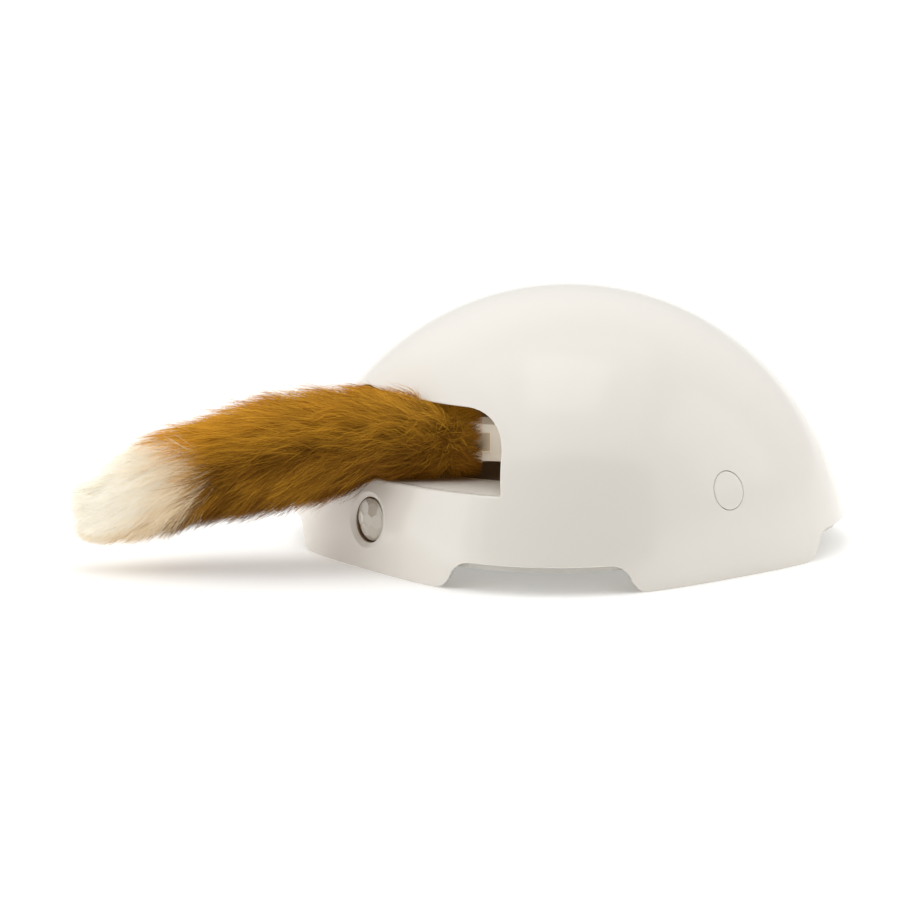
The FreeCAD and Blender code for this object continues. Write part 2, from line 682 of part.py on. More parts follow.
def sensor_holder():
    """Tube behind the window, cut flat where it stands on the base cover."""
    back = LENS_FLANGE_BACK - HOLDER_LENGTH
    outer = lens_rod(LENS_FLANGE_RADIUS, back, LENS_FLANGE_BACK)
    wide = LENS_FLANGE_RADIUS + HOLDER_FOOT
    front = LENS_FLANGE_BACK - HOLDER_FOOT
    foot = box(-wide, wide, -front, -back, BASE_TOP_Z, BASE_TOP_Z + HOLDER_WALL)
    holder = outer.fuse(foot).cut(box(-2 * wide, 2 * wide, -CORNER_RADIUS, 0, 0, BASE_TOP_Z))
    return holder.cut(lens_rod(LENS_FLANGE_RADIUS - HOLDER_WALL, back - CUT_MARGIN, CORNER_RADIUS))


def sensor_board():
    back = LENS_FLANGE_BACK - HOLDER_LENGTH
    half = SENSOR_BOARD_HALF
    return box(-half, half, -back, -back + BOARD_THICK, BASE_TOP_Z, BASE_TOP_Z + SENSOR_BOARD_HEIGHT)


def motion_sensor():
    """Round metal can of the heat sensor with its brim, on the board behind the window."""
    back = LENS_FLANGE_BACK - HOLDER_LENGTH
    can = lens_rod(SENSOR_CAN_RADIUS - SENSOR_BRIM, back, back + SENSOR_CAN_LENGTH)
    brim = lens_rod(SENSOR_CAN_RADIUS, back, back + SENSOR_BRIM)
    return fused(can, brim)


def mode_button(outer):
    """Round cap whose face follows the dome's skin, with a stop flange and a stem."""
    cap = button_rod(BUTTON_RADIUS, BUTTON_FLANGE_X, CORNER_RADIUS).common(outer)
    flange = button_rod(BUTTON_FLANGE_RADIUS, BUTTON_FLANGE_X, BUTTON_FLANGE_X + BUTTON_FLANGE)
    stem = button_rod(BUTTON_STEM_RADIUS, BUTTON_FLANGE_X - BUTTON_STEM, BUTTON_FLANGE_X)
    return fused(cap, flange, stem)


def button_board():
    half = BUTTON_BOARD_HALF
    z0 = BUTTON_Z - BUTTON_BOARD_DROP
    z1 = BUTTON_Z + BUTTON_BOARD_RISE
    return box(BUTTON_BOARD_X, BUTTON_BOARD_X + BOARD_THICK, -half, half, z0, z1)


def tact_switch():
    """Square click switch; its plunger stops just short of the pressed button's stem."""
    face = BUTTON_BOARD_X + BOARD_THICK
    half = SWITCH_SIDE / 2
    body = box(face, face + SWITCH_BODY, -half, half, BUTTON_Z - half, BUTTON_Z + half)
    stem_end = BUTTON_FLANGE_X - BUTTON_STEM - BUTTON_TRAVEL
    plunger = button_rod(SWITCH_PLUNGER_RADIUS, face, stem_end - PLUNGER_GAP)
    return fused(body, plunger)


def gear(teeth, thick, z, centre_x, phase):
    """Spur gear with straight-flanked teeth, thinned by the backlash."""
    pitch = MODULE * teeth / 2.0
    outer = pitch + TOOTH_TIP * MODULE
    root = pitch - TOOTH_ROOT * MODULE
    half = (math.pi * MODULE / 2.0 - BACKLASH) / 2.0
    slope = math.tan(math.radians(PRESSURE_ANGLE))
    points = []
    for k in range(teeth):
        middle = 2.0 * math.pi * (k + phase) / teeth
        for radius, side in ((root, -1), (outer, -1), (outer, 1), (root, 1)):
            width = half - (radius - pitch) * slope
            angle = middle + side * width / radius
            points.append(Vector(centre_x + radius * math.cos(angle), radius * math.sin(angle), z))
    return polygon_prism(points, Vector(0, 0, thick))


def output_gear():
    """Large gear on the spindle with a hub below."""
    wheel = gear(GEAR_TEETH, GEAR_THICK, GEAR_Z, 0.0, 0.0)
    hub = upright(GEAR_HUB_RADIUS, 0, 0, GEAR_Z - GEAR_HUB_DROP, GEAR_Z)
    bore = upright(SPINDLE_RADIUS, 0, 0, GEAR_Z - GEAR_HUB_DROP, GEAR_Z + GEAR_THICK)
    return fused(wheel, hub).cut(bore)


def drive_pinion():
    """Pinion on the gear motor's shaft, in mesh with the output gear at rest."""
    x = -pinion_distance()
    wheel = gear(PINION_TEETH, GEAR_THICK, GEAR_Z, x, 0.5)
    shaft = upright(MOTOR_SHAFT_RADIUS, x, 0, CASE_TOP_Z - MOTOR_SHAFT_DEPTH, GEAR_Z + GEAR_THICK)
    return fused(wheel, shaft)


def upright_edges(shape):
    return [edge for edge in shape.Edges if abs(edge.Vertexes[0].Z - edge.Vertexes[1].Z) > THIN_GAP]


def gear_motor_case():
    """Closed gearbox of the drive, with its output shaft hole and three long screw holes."""
    x = -pinion_distance()
    case = box(x - CASE_HALF_X, x + CASE_HALF_X, CASE_FRONT_Y, CASE_BACK_Y, CASE_BOTTOM_Z, CASE_TOP_Z)
    case = case.makeFillet(CASE_ROUND, upright_edges(case))
    shaft_foot = CASE_TOP_Z - MOTOR_SHAFT_DEPTH
    case = case.cut(upright(MOTOR_SHAFT_RADIUS + RUN_GAP, x, 0, shaft_foot, CASE_TOP_Z))
    for px, py in case_screw_places():
        case = case.cut(upright(CASE_SCREW_RADIUS, px, py, CASE_BOTTOM_Z, CASE_TOP_Z))
    return case


def motor():
    """Small direct-current motor: round can with two flats and a rear boss."""
    x = -pinion_distance()
    z = (CASE_BOTTOM_Z + CASE_TOP_Z) / 2.0
    start = Vector(x, CASE_FRONT_Y, z)
    can = rod(MOTOR_RADIUS, start, Vector(0, -1, 0), MOTOR_LENGTH)
    flats = box(x - MOTOR_RADIUS, x + MOTOR_RADIUS, CASE_FRONT_Y - MOTOR_LENGTH, CASE_FRONT_Y,
                z - MOTOR_FLAT, z + MOTOR_FLAT)
    end = Vector(x, CASE_FRONT_Y - MOTOR_LENGTH, z)
    boss = rod(MOTOR_BOSS_RADIUS, end, Vector(0, -1, 0), MOTOR_BOSS)
    return fused(can.common(flats), boss)


def motor_screws():
    screws = []
    for x, y in case_screw_places():
        shank = upright(CASE_SCREW_RADIUS, x, y, CASE_BOTTOM_Z, well_bottom_z())
        head = upright(CASE_SCREW_HEAD_RADIUS, x, y, CASE_BOTTOM_Z - CASE_SCREW_HEAD, CASE_BOTTOM_Z)
        screws.append(shank.fuse(head))
    return Part.makeCompound(screws)


def spindle():
    """Steel spindle from the base cover's socket up into the arm's hub."""
    return upright(SPINDLE_RADIUS, 0, 0, SPINDLE_FOOT_Z, SPINDLE_TOP_Z)


def spindle_bush():
    bottom = well_bottom_z()
    bush = upright(BUSH_RADIUS, 0, 0, bottom, bottom + WELL_FLOOR)
    return bush.cut(upright(SPINDLE_RADIUS + RUN_GAP, 0, 0, bottom, bottom + WELL_FLOOR))


def turntable_disc():
    """Dark round plate, flush with the den floor, turning with the arm."""
    disc = upright(WELL_RADIUS, 0, 0, LIP_Z - DISC_THICK, LIP_Z)
    return disc.cut(upright(SPINDLE_RADIUS, 0, 0, LIP_Z - DISC_THICK, LIP_Z))


def tail_pivot():
    return on_circle(PIVOT_REACH, PIVOT_AZIMUTH, TAIL_Z)


def fork_way():
    """Plan vector from the tail's pivot back to the bar's outer end."""
    pivot = tail_pivot()
    end = on_circle(BAR_REACH, BAR_AZIMUTH)
    return Vector(end.x - pivot.x, end.y - pivot.y, 0)


def arm_block(radius, z0, z1, grow=0.0):
    """Round-ended bar from the bar's outer end to the tail's pivot."""
    pivot = tail_pivot()
    length = fork_way().Length + BAR_HALF / 2
    way = fork_way().normalize()
    side = Vector(-way.y, way.x, 0) * (FORK_HALF + grow)
    near = Vector(pivot.x, pivot.y, z0)
    start = near + way * (FORK_HALF - radius)
    far = near + way * length
    long_part = polygon_prism([start - side, far - side, far + side, start + side], Vector(0, 0, z1 - z0))
    return fused(long_part, upright(radius + grow, pivot.x, pivot.y, z0, z1))


def arm_bar(z0, z1):
    bar = box(-BAR_HALF, BAR_HALF, -BAR_REACH, 0, z0, z1)
    bar.rotate(Vector(0, 0, 0), Vector(0, 0, 1), BAR_AZIMUTH)
    return bar


def slot_top_z():
    return TAIL_Z + EYE_THICK / 2 + SOFT_GAP


def tail_arm():
    """Arm moulding: skirted hub, bar, and the fork's lower plate."""
    foot = LIP_Z + THIN_GAP
    hub = upright(HUB_TOP_RADIUS, 0, 0, foot, HUB_TOP_Z)
    skirt = upright(HUB_RADIUS, 0, 0, foot, foot + HUB_SKIRT)
    bar = arm_bar(FLANGE_BOTTOM_Z, BAR_TOP_Z)
    flange = arm_block(FORK_HALF - FLANGE_SHORT, FLANGE_BOTTOM_Z, FLANGE_TOP_Z)
    arm = fused(hub, skirt, bar, flange)
    arm = arm.cut(arm_block(FORK_HALF, FLANGE_TOP_Z, HUB_TOP_Z, THIN_GAP))
    arm = arm.cut(upright(SPINDLE_RADIUS, 0, 0, LIP_Z, SPINDLE_TOP_Z))
    pivot = tail_pivot()
    arm = arm.cut(upright(TAIL_PIN_RADIUS, pivot.x, pivot.y, FLANGE_BOTTOM_Z, FLANGE_TOP_Z))
    for x, y in cap_screw_places():
        arm = arm.cut(upright(SCREW_RADIUS, x, y, FLANGE_BOTTOM_Z, FLANGE_TOP_Z))
    return arm


def cap_screw_places():
    """Two screws along the fork's back end."""
    way = fork_way().normalize()
    side = Vector(-way.y, way.x, 0) * CAP_SCREW_STEP
    centre = tail_pivot() + way * (EYE_RADIUS + CAP_SCREW_REACH)
    return [((centre + side * step).x, (centre + side * step).y) for step in (-1, 1)]


def arm_cap():
    """Upper half of the fork: the block over the tail's eye, slotted for it."""
    pivot = tail_pivot()
    block = arm_block(FORK_HALF, FLANGE_TOP_Z, FORK_TOP_Z)
    slot_radius = math.hypot(FORK_HALF, TONGUE_HALF) + SOFT_GAP
    slot = upright(slot_radius, pivot.x, pivot.y, FLANGE_TOP_Z, slot_top_z())
    cap = block.cut(slot)
    cap = cap.cut(upright(TAIL_PIN_RADIUS, pivot.x, pivot.y, slot_top_z(), TAIL_PIN_TOP_Z))
    for x, y in cap_screw_places():
        cap = cap.cut(upright(SCREW_RADIUS, x, y, FLANGE_TOP_Z, FLANGE_TOP_Z + CAP_SCREW_GRIP))
    return cap


def arm_screws():
    screws = []
    for x, y in cap_screw_places():
        shank = upright(SCREW_RADIUS, x, y, FLANGE_BOTTOM_Z, FLANGE_TOP_Z + CAP_SCREW_GRIP)
        head_foot = FLANGE_BOTTOM_Z - SCREW_HEAD
        head = upright(CAP_SCREW_HEAD_RADIUS, x, y, head_foot, FLANGE_BOTTOM_Z)
        screws.append(shank.fuse(head))
    return Part.makeCompound(screws)


def tail_pin():
    """Steel swivel pin of the tail, pressed into both halves of the fork."""
    pivot = tail_pivot()
    pin = upright(TAIL_PIN_RADIUS, pivot.x, pivot.y, FLANGE_BOTTOM_Z, TAIL_PIN_TOP_Z)
    head = upright(TAIL_PIN_HEAD_RADIUS, pivot.x, pivot.y, FLANGE_BOTTOM_Z - TAIL_PIN_HEAD, FLANGE_BOTTOM_Z)
    return fused(pin, head)


def heading(pitch):
    """Direction along the tail at rest, tipped up by a pitch angle."""
    around = math.radians(TAIL_HEADING)
    up = math.radians(pitch)
    return Vector(math.sin(around) * math.cos(up), -math.cos(around) * math.cos(up), math.sin(up))


def tail_joints():
    points = [tail_pivot()]
    for length, pitch in zip(TAIL_LENGTHS, TAIL_PITCH):
        points.append(points[-1] + heading(pitch) * length)
    return points


def hinge_axis(k):
    """Axis and full angle of the joint at the root of length k."""
    level = heading(0.0)
    lift_axis = level.cross(Vector(0, 0, 1)).normalize()
    turn = Vector(0, 0, 1) * TAIL_YAW[k] + lift_axis * TAIL_LIFT[k]
    return Vector(turn).normalize(), turn.Length


def bevel_cutter(centre, axis, along, inward, turn):
    """Prism that bevels an end in a plane square to the hinge axis, steeper on the inner side."""
    inner = math.radians((180.0 - turn - BEVEL_MARGIN) / 2.0)
    outer = math.radians((180.0 - BACK_SWEEP * turn - BEVEL_MARGIN) / 2.0)
    reach = TAIL_LENGTHS[0]
    back = along * -1.0
    apex = centre + back * SOFT_GAP
    inner_ray = (back * math.cos(inner) + inward * math.sin(inner)) * reach
    outer_ray = (back * math.cos(outer) - inward * math.sin(outer)) * reach
    beyond = along * 2 * reach
    points = [apex, apex + inner_ray, apex + inner_ray + beyond, apex + outer_ray + beyond, apex + outer_ray]
    start = axis * -reach
    return polygon_prism([point + start for point in points], axis * 2 * reach)


def tail_body(start, along, stations):
    """Swelling and tapering body through many-sided sections square to its own line."""
    turn = FreeCAD.Rotation(Vector(0, 0, 1), along)
    sections = []
    for place, radius in stations:
        points = []
        for k in range(TAIL_SIDES):
            angle = 2.0 * math.pi * k / TAIL_SIDES
            ring_point = Vector(radius * math.cos(angle), radius * math.sin(angle), place)
            points.append(start + turn.multVec(ring_point))
        sections.append(Part.makePolygon(points + points[:1]))
    return Part.makeLoft(sections, True, True)


def tail_length(k):
    """One stuffed length: swell and taper, bevelled ends, knuckle ahead, notch behind."""
    points = tail_joints()
    along = (points[k + 1] - points[k]).normalize()
    body = tail_body(points[k], along, TAIL_RADII[k])
    if k + 1 < len(TAIL_LENGTHS):
        axis, turn = hinge_axis(k + 1)
        inward = axis.cross(along).normalize()
        body = body.cut(bevel_cutter(points[k + 1], axis, along, inward, turn))
        start = points[k + 1] - axis * KNUCKLE_HALF
        body = body.fuse(rod(KNUCKLE_RADIUS, start, axis, 2 * KNUCKLE_HALF))
    if k > 0:
        axis, turn = hinge_axis(k)
        inward = axis.cross(along).normalize()
        body = body.cut(bevel_cutter(points[k], axis, along * -1.0, inward, turn))
        start = points[k] - axis * 3 * KNUCKLE_HALF
        body = body.cut(rod(KNUCKLE_RADIUS + SOFT_GAP, start, axis, 6 * KNUCKLE_HALF))
    return body


def tail_plug():
    """Plastic root of the tail: eye on the swivel pin, tongue, and plug in the stuffing."""
    pivot = tail_pivot()
    along = heading(0.0)
    side = Vector(-along.y, along.x, 0) * TONGUE_HALF
    z0 = TAIL_Z - EYE_THICK / 2
    eye = upright(EYE_RADIUS, pivot.x, pivot.y, z0, z0 + EYE_THICK)
    near = Vector(pivot.x, pivot.y, z0)
    far = near + along * TAIL_ROOT_START
    tongue = polygon_prism([near - side, far - side, far + side, near + side], Vector(0, 0, EYE_THICK))
    plug = rod(TONGUE_HALF, far + Vector(0, 0, EYE_THICK / 2), along, PLUG_LENGTH)
    piece = fused(eye, tongue, plug)
    bore_top = z0 + EYE_THICK + CUT_MARGIN
    return piece.cut(upright(TAIL_PIN_RADIUS + RUN_GAP, pivot.x, pivot.y, z0 - CUT_MARGIN, bore_top))


def main_board():
    board = box(MAIN_BOARD_X[0], MAIN_BOARD_X[1], -MAIN_BOARD_HALF_Y, MAIN_BOARD_HALF_Y,
                MAIN_BOARD_Z, MAIN_BOARD_Z + BOARD_THICK)
    return board.makeFillet(MAIN_BOARD_ROUND, upright_edges(board))


def board_parts():
    """Controller chip, motor driver, two capacitors and two plug sockets on the main board."""
    top = MAIN_BOARD_Z + BOARD_THICK
    near = MAIN_BOARD_X[0] + STAND_INSET
    middle = near + PART_SPACING
    low = -PART_SPACING - PLUG_SOCKET

    def block(x, y, wide, deep, tall):
        return box(x, x + wide, y, y + deep, top, top + tall)

    pieces = [
        block(middle, -CHIP_SIDE / 2, CHIP_SIDE, CHIP_SIDE, CHIP_THICK),
        block(near, -PART_SPACING, DRIVER_WIDTH, DRIVER_LENGTH, CHIP_THICK),
        block(near, PART_SPACING - DRIVER_LENGTH / 2, PLUG_SOCKET, PLUG_SOCKET_WIDE, PLUG_SOCKET_TALL),
        block(middle, low, PLUG_SOCKET_WIDE, PLUG_SOCKET, PLUG_SOCKET_TALL),
        upright(CAPACITOR_RADIUS, near + DRIVER_LENGTH, low, top, top + CAPACITOR_TALL),
        upright(CAPACITOR_RADIUS, middle, PART_SPACING, top, top + CAPACITOR_TALL),
    ]
    return Part.makeCompound(pieces)


def main():
    os.makedirs("parts", exist_ok=True)
    outer = dome_solid()
    save("dome_shell", dome_shell(outer))
    save("den_floor", den_floor())
    save("turntable_disc", turntable_disc())
    save("base_cover", base_cover())
    save("base_screws", base_screws())
    save("battery_door", battery_door())
    save("door_pin", door_pin())
    save("batteries", batteries())
    save("battery_contacts", battery_contacts())
    save("motion_lens", motion_lens())
    save("sensor_holder", sensor_holder())
    save("motion_sensor", motion_sensor())
    save("sensor_board", sensor_board())
    save("mode_button", mode_button(outer))
    save("tact_switch", tact_switch())
    save("button_board", button_board())
    save("gear_motor_case", gear_motor_case())
    save("motor", motor())
    save("motor_screws", motor_screws())
    save("drive_pinion", drive_pinion())
    save("output_gear", output_gear())
    save("spindle", spindle())
    save("spindle_bush", spindle_bush())
    save("tail_arm", tail_arm())
    save("arm_cap", arm_cap())
    save("arm_screws", arm_screws())
    save("tail_pin", tail_pin())
    plug = tail_plug()
    save("tail_plug", plug)
    save("main_board", main_board())
    save("board_parts", board_parts())
    save("tail_root", tail_length(0).cut(plug))
    save("tail_middle", tail_length(1))
    save("tail_bend", tail_length(2))
    save("tail_tip", tail_length(3))


main()
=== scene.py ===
# %% [markdown]
# Electronic hide-and-seek cat toy, dressed for a studio picture.
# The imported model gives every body, joint and rigid piece at its real size. This lesson adds what
# the eye sees: the glossy dome with its rounded rims, the sensor window, the button, the long fur
# of the tail, and plain soft light. Units are metres, Z is up and the den opening looks along -Y.

# %% Load the frame
import bmesh
import bpy
import json
import math
import numpy as np
from mathutils import Matrix, Vector
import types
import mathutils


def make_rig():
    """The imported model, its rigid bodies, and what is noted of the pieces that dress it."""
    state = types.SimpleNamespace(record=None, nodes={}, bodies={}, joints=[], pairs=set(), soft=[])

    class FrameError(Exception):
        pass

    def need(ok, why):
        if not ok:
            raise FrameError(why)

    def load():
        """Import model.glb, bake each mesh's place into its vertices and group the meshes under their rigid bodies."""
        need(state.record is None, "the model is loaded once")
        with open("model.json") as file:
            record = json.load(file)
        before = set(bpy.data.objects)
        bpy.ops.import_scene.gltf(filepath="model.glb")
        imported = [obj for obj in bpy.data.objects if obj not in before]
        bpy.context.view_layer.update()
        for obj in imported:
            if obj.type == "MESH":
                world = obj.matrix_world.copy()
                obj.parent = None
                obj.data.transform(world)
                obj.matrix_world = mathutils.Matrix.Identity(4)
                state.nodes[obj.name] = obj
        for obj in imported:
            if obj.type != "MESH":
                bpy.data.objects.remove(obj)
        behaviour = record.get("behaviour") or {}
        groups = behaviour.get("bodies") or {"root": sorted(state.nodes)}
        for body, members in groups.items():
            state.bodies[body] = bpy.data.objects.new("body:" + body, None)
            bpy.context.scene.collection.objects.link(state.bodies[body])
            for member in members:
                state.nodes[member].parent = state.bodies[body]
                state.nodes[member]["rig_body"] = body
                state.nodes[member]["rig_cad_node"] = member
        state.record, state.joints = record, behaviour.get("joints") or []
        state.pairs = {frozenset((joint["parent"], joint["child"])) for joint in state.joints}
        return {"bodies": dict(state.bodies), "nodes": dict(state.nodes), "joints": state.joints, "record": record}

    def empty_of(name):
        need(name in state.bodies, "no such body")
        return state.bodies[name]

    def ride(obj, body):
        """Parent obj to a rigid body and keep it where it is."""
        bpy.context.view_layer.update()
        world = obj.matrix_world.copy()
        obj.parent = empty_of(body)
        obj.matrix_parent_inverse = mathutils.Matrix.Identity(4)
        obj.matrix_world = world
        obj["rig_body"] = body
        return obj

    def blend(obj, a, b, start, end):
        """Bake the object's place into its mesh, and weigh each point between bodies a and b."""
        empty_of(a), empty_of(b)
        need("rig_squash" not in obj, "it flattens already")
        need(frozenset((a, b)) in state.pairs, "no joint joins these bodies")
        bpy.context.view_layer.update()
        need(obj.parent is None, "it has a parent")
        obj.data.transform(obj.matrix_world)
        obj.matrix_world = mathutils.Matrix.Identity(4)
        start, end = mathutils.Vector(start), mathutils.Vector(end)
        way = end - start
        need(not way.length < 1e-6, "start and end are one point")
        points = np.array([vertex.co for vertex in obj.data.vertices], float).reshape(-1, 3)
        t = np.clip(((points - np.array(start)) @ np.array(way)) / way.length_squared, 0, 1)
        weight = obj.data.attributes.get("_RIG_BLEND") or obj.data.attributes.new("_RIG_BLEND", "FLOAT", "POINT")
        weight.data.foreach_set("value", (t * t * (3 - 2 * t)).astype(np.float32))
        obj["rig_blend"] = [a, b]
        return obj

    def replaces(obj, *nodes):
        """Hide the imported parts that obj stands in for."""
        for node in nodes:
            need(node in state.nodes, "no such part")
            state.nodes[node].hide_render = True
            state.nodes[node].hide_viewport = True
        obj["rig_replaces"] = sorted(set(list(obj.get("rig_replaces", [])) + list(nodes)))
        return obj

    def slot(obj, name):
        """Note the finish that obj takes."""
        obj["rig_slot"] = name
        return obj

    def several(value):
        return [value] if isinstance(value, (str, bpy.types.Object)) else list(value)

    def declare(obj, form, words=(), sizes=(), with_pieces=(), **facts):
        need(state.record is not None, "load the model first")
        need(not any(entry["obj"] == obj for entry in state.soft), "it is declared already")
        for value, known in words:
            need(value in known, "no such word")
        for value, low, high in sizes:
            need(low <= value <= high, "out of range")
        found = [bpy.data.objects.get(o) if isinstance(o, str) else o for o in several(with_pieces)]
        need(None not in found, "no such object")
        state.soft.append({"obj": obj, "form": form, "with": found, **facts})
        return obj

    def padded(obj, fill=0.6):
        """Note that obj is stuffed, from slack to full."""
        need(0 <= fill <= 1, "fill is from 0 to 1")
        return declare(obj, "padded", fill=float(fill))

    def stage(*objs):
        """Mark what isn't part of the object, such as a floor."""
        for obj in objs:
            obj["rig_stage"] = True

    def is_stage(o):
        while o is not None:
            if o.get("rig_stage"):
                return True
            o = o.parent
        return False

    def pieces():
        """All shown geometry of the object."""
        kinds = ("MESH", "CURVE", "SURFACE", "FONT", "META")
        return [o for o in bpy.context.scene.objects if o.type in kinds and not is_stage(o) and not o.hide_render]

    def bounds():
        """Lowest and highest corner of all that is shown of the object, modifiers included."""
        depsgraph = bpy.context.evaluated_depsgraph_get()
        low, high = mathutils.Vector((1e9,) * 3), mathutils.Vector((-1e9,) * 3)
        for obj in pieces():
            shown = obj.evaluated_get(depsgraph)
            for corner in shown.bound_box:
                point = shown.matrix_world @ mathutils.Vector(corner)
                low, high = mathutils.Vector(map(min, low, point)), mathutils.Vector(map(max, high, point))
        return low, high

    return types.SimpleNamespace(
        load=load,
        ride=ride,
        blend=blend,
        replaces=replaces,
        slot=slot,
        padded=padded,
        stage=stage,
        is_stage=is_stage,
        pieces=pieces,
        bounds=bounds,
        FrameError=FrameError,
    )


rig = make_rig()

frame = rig.load()
cad_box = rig.bounds()
MM = 0.001
print("bodies:", ", ".join(sorted(frame["bodies"])))

# %% [markdown]
# Shader maths reads best as plain formulas. A Flow wraps one node socket, and Python's operators on
# it add Math nodes. A Finish is one material: constants go on the shader's own sockets, and a
# single method, node, makes any other node, with its settings first and its sockets after.

# %% Sockets that behave like numbers, and a material maker
class Flow:
    def __init__(self, finish, socket):
        self.finish = finish
        self.socket = socket

    def maths(self, operation, other):
        return self.finish.node("ShaderNodeMath", {"operation": operation}, {0: self, 1: other})

    def __add__(self, other):
        return self.maths("ADD", other)

    def __sub__(self, other):
        return self.maths("SUBTRACT", other)

    def __mul__(self, other):
        return self.maths("MULTIPLY", other)

    def clamp(self):
        return self.finish.node("ShaderNodeClamp", {}, {0: self})


class Finish:
    def __init__(self, name, **constants):
        self.material = bpy.data.materials.new(name)
        self.material.use_nodes = True
        self.tree = self.material.node_tree
        self.shader = self.tree.nodes["Principled BSDF"]
        for socket, value in constants.items():
            self.shader.inputs[socket.replace("_", " ")].default_value = value

    def node(self, kind, settings, sockets, output=0):
        made = self.tree.nodes.new(kind)
        for name, value in settings.items():
            setattr(made, name, value)
        for key, value in sockets.items():
            self.plug(made.inputs[key], value)
        return Flow(self, made.outputs[output])

    def plug(self, socket, value):
        if isinstance(value, Flow):
            self.tree.links.new(value.socket, socket)
        else:
            socket.default_value = value

    def feed(self, **links):
        for name, value in links.items():
            self.plug(self.shader.inputs[name.replace("_", " ")], value)

    def place(self):
        return self.node("ShaderNodeTexCoord", {}, {}, "Object")

    def noise(self, scale, detail):
        sockets = {"Vector": self.place(), "Scale": scale, "Detail": detail, "Roughness": 0.5}
        return self.node("ShaderNodeTexNoise", {}, sockets)

    def mix(self, factor, first, second):
        sockets = {0: factor, 6: first, 7: second}
        return self.node("ShaderNodeMix", {"data_type": "RGBA"}, sockets, 2)

    def bump(self, height, distance, strength):
        sockets = {"Height": height, "Distance": distance, "Strength": strength}
        return self.node("ShaderNodeBump", {}, sockets)


def srgb(red, green, blue):
    """A colour given as it looks on a screen, 0 to 255, in the linear values that shaders use."""
    def linear(channel):
        share = channel / 255.0
        return share / 12.92 if share <= 0.04045 else ((share + 0.055) / 1.055) ** 2.4
    return (linear(red), linear(green), linear(blue), 1.0)


# %% [markdown]
# The camera stands where the photograph's did: about 1.7 m off, turned 53 degrees from the den's
# face towards the button's side, eleven degrees up, with a long lens, so that lines stay parallel.

# %% Camera
CAMERA_PLACE = Vector((1.2907, -1.0486, 0.3581))
CAMERA_AHEAD = Vector((-0.7802, 0.5961, -0.18975)).normalized()
CAMERA_ROLL = math.radians(-0.327)
FOCAL_LENGTH = 161.2
FILM_WIDTH = 36.0


def add_camera():
    data = bpy.data.cameras.new("studio_camera")
    data.lens = FOCAL_LENGTH
    data.sensor_width = FILM_WIDTH
    data.clip_end = 20.0
    camera = bpy.data.objects.new("studio_camera", data)
    bpy.context.collection.objects.link(camera)
    turn = CAMERA_AHEAD.to_track_quat("-Z", "Y").to_matrix().to_4x4()
    roll = Matrix.Rotation(CAMERA_ROLL, 4, "Z")
    camera.matrix_world = Matrix.Translation(CAMERA_PLACE) @ turn @ roll
    bpy.context.scene.camera = camera


add_camera()
print("camera distance, m:", round(CAMERA_PLACE.length, 2))

# %% [markdown]
# The dome is a spherical bell whose four faces are drawn in towards the floor, so from above it is
# a square with very round corners. The same formula that shapes the solid places every vertex
# here, and its slope gives exact normals, which a glossy surface shows up at once.

# %% The dome's skin as a formula
DOME_HEIGHT = 106.5 * MM
CORNER_RADIUS = 117.65 * MM
FACE_DRAW_IN = 11.84 * MM
FACE_FADE_HEIGHT = 92.0 * MM
FACE_FADE_POWER = 1.3
WALL = 2.5 * MM
SPHERE_Z = (DOME_HEIGHT ** 2 - CORNER_RADIUS ** 2) / (2 * DOME_HEIGHT)
SPHERE_RADIUS = DOME_HEIGHT - SPHERE_Z


def skin_radius(azimuth, z, inset=0.0):
    """Distance from the axis; azimuth counts in radians from -Y towards +X."""
    sphere = np.sqrt(np.maximum((SPHERE_RADIUS - inset) ** 2 - (z - SPHERE_Z) ** 2, 0.0))
    fade = np.maximum(1.0 - z / FACE_FADE_HEIGHT, 0.0) ** FACE_FADE_POWER
    return sphere - FACE_DRAW_IN * (0.5 + 0.5 * np.cos(4 * azimuth)) * fade


def skin_point(azimuth, z, inset=0.0):
    radius = skin_radius(azimuth, z, inset)
    return np.stack([radius * np.sin(azimuth), -radius * np.cos(azimuth), z + 0.0 * azimuth], -1)


def skin_normal(azimuth, z):
    """Outward normal from the slopes of the formula, with the crown set straight up."""
    step = 1e-5
    radius = skin_radius(azimuth, z)
    around = (skin_radius(azimuth + step, z) - skin_radius(azimuth - step, z)) / (2 * step)
    low = np.maximum(z - 1e-6, -0.01)
    up = (skin_radius(azimuth, z) - skin_radius(azimuth, low)) / (z - low)
    turn = around / np.maximum(radius, 1e-6)
    normal = np.stack([np.sin(azimuth) - turn * np.cos(azimuth),
                       -np.cos(azimuth) - turn * np.sin(azimuth), -up], -1)
    crown = z > DOME_HEIGHT - 2e-6
    normal[crown] = (0.0, 0.0, 1.0)
    return normal / np.linalg.norm(normal, axis=-1, keepdims=True)


def reach_along(across, z, inset=0.0):
    """How far out the skin of one face lies at a sideways place: solves for the azimuth."""
    azimuth = np.zeros_like(across + z)
    for _ in range(25):
        azimuth = np.arcsin(np.clip(across / skin_radius(azimuth, z, inset), -1, 1))
    return skin_radius(azimuth, z, inset) * np.cos(azimuth)


print("half width over the faces, mm:", round(float(skin_radius(0.0, 0.0)) / MM, 2))

# %% [markdown]
# The lower edge has four flat feet and four shallow arches between them, joined by S-shaped ramps.
# It is written as a height for every sideways place along a face.

# %% Feet and arches
FOOT_HALF = 42.0 * MM
FOOT_RAMP = 16.0 * MM
ARCH_HEIGHT = 11.5 * MM


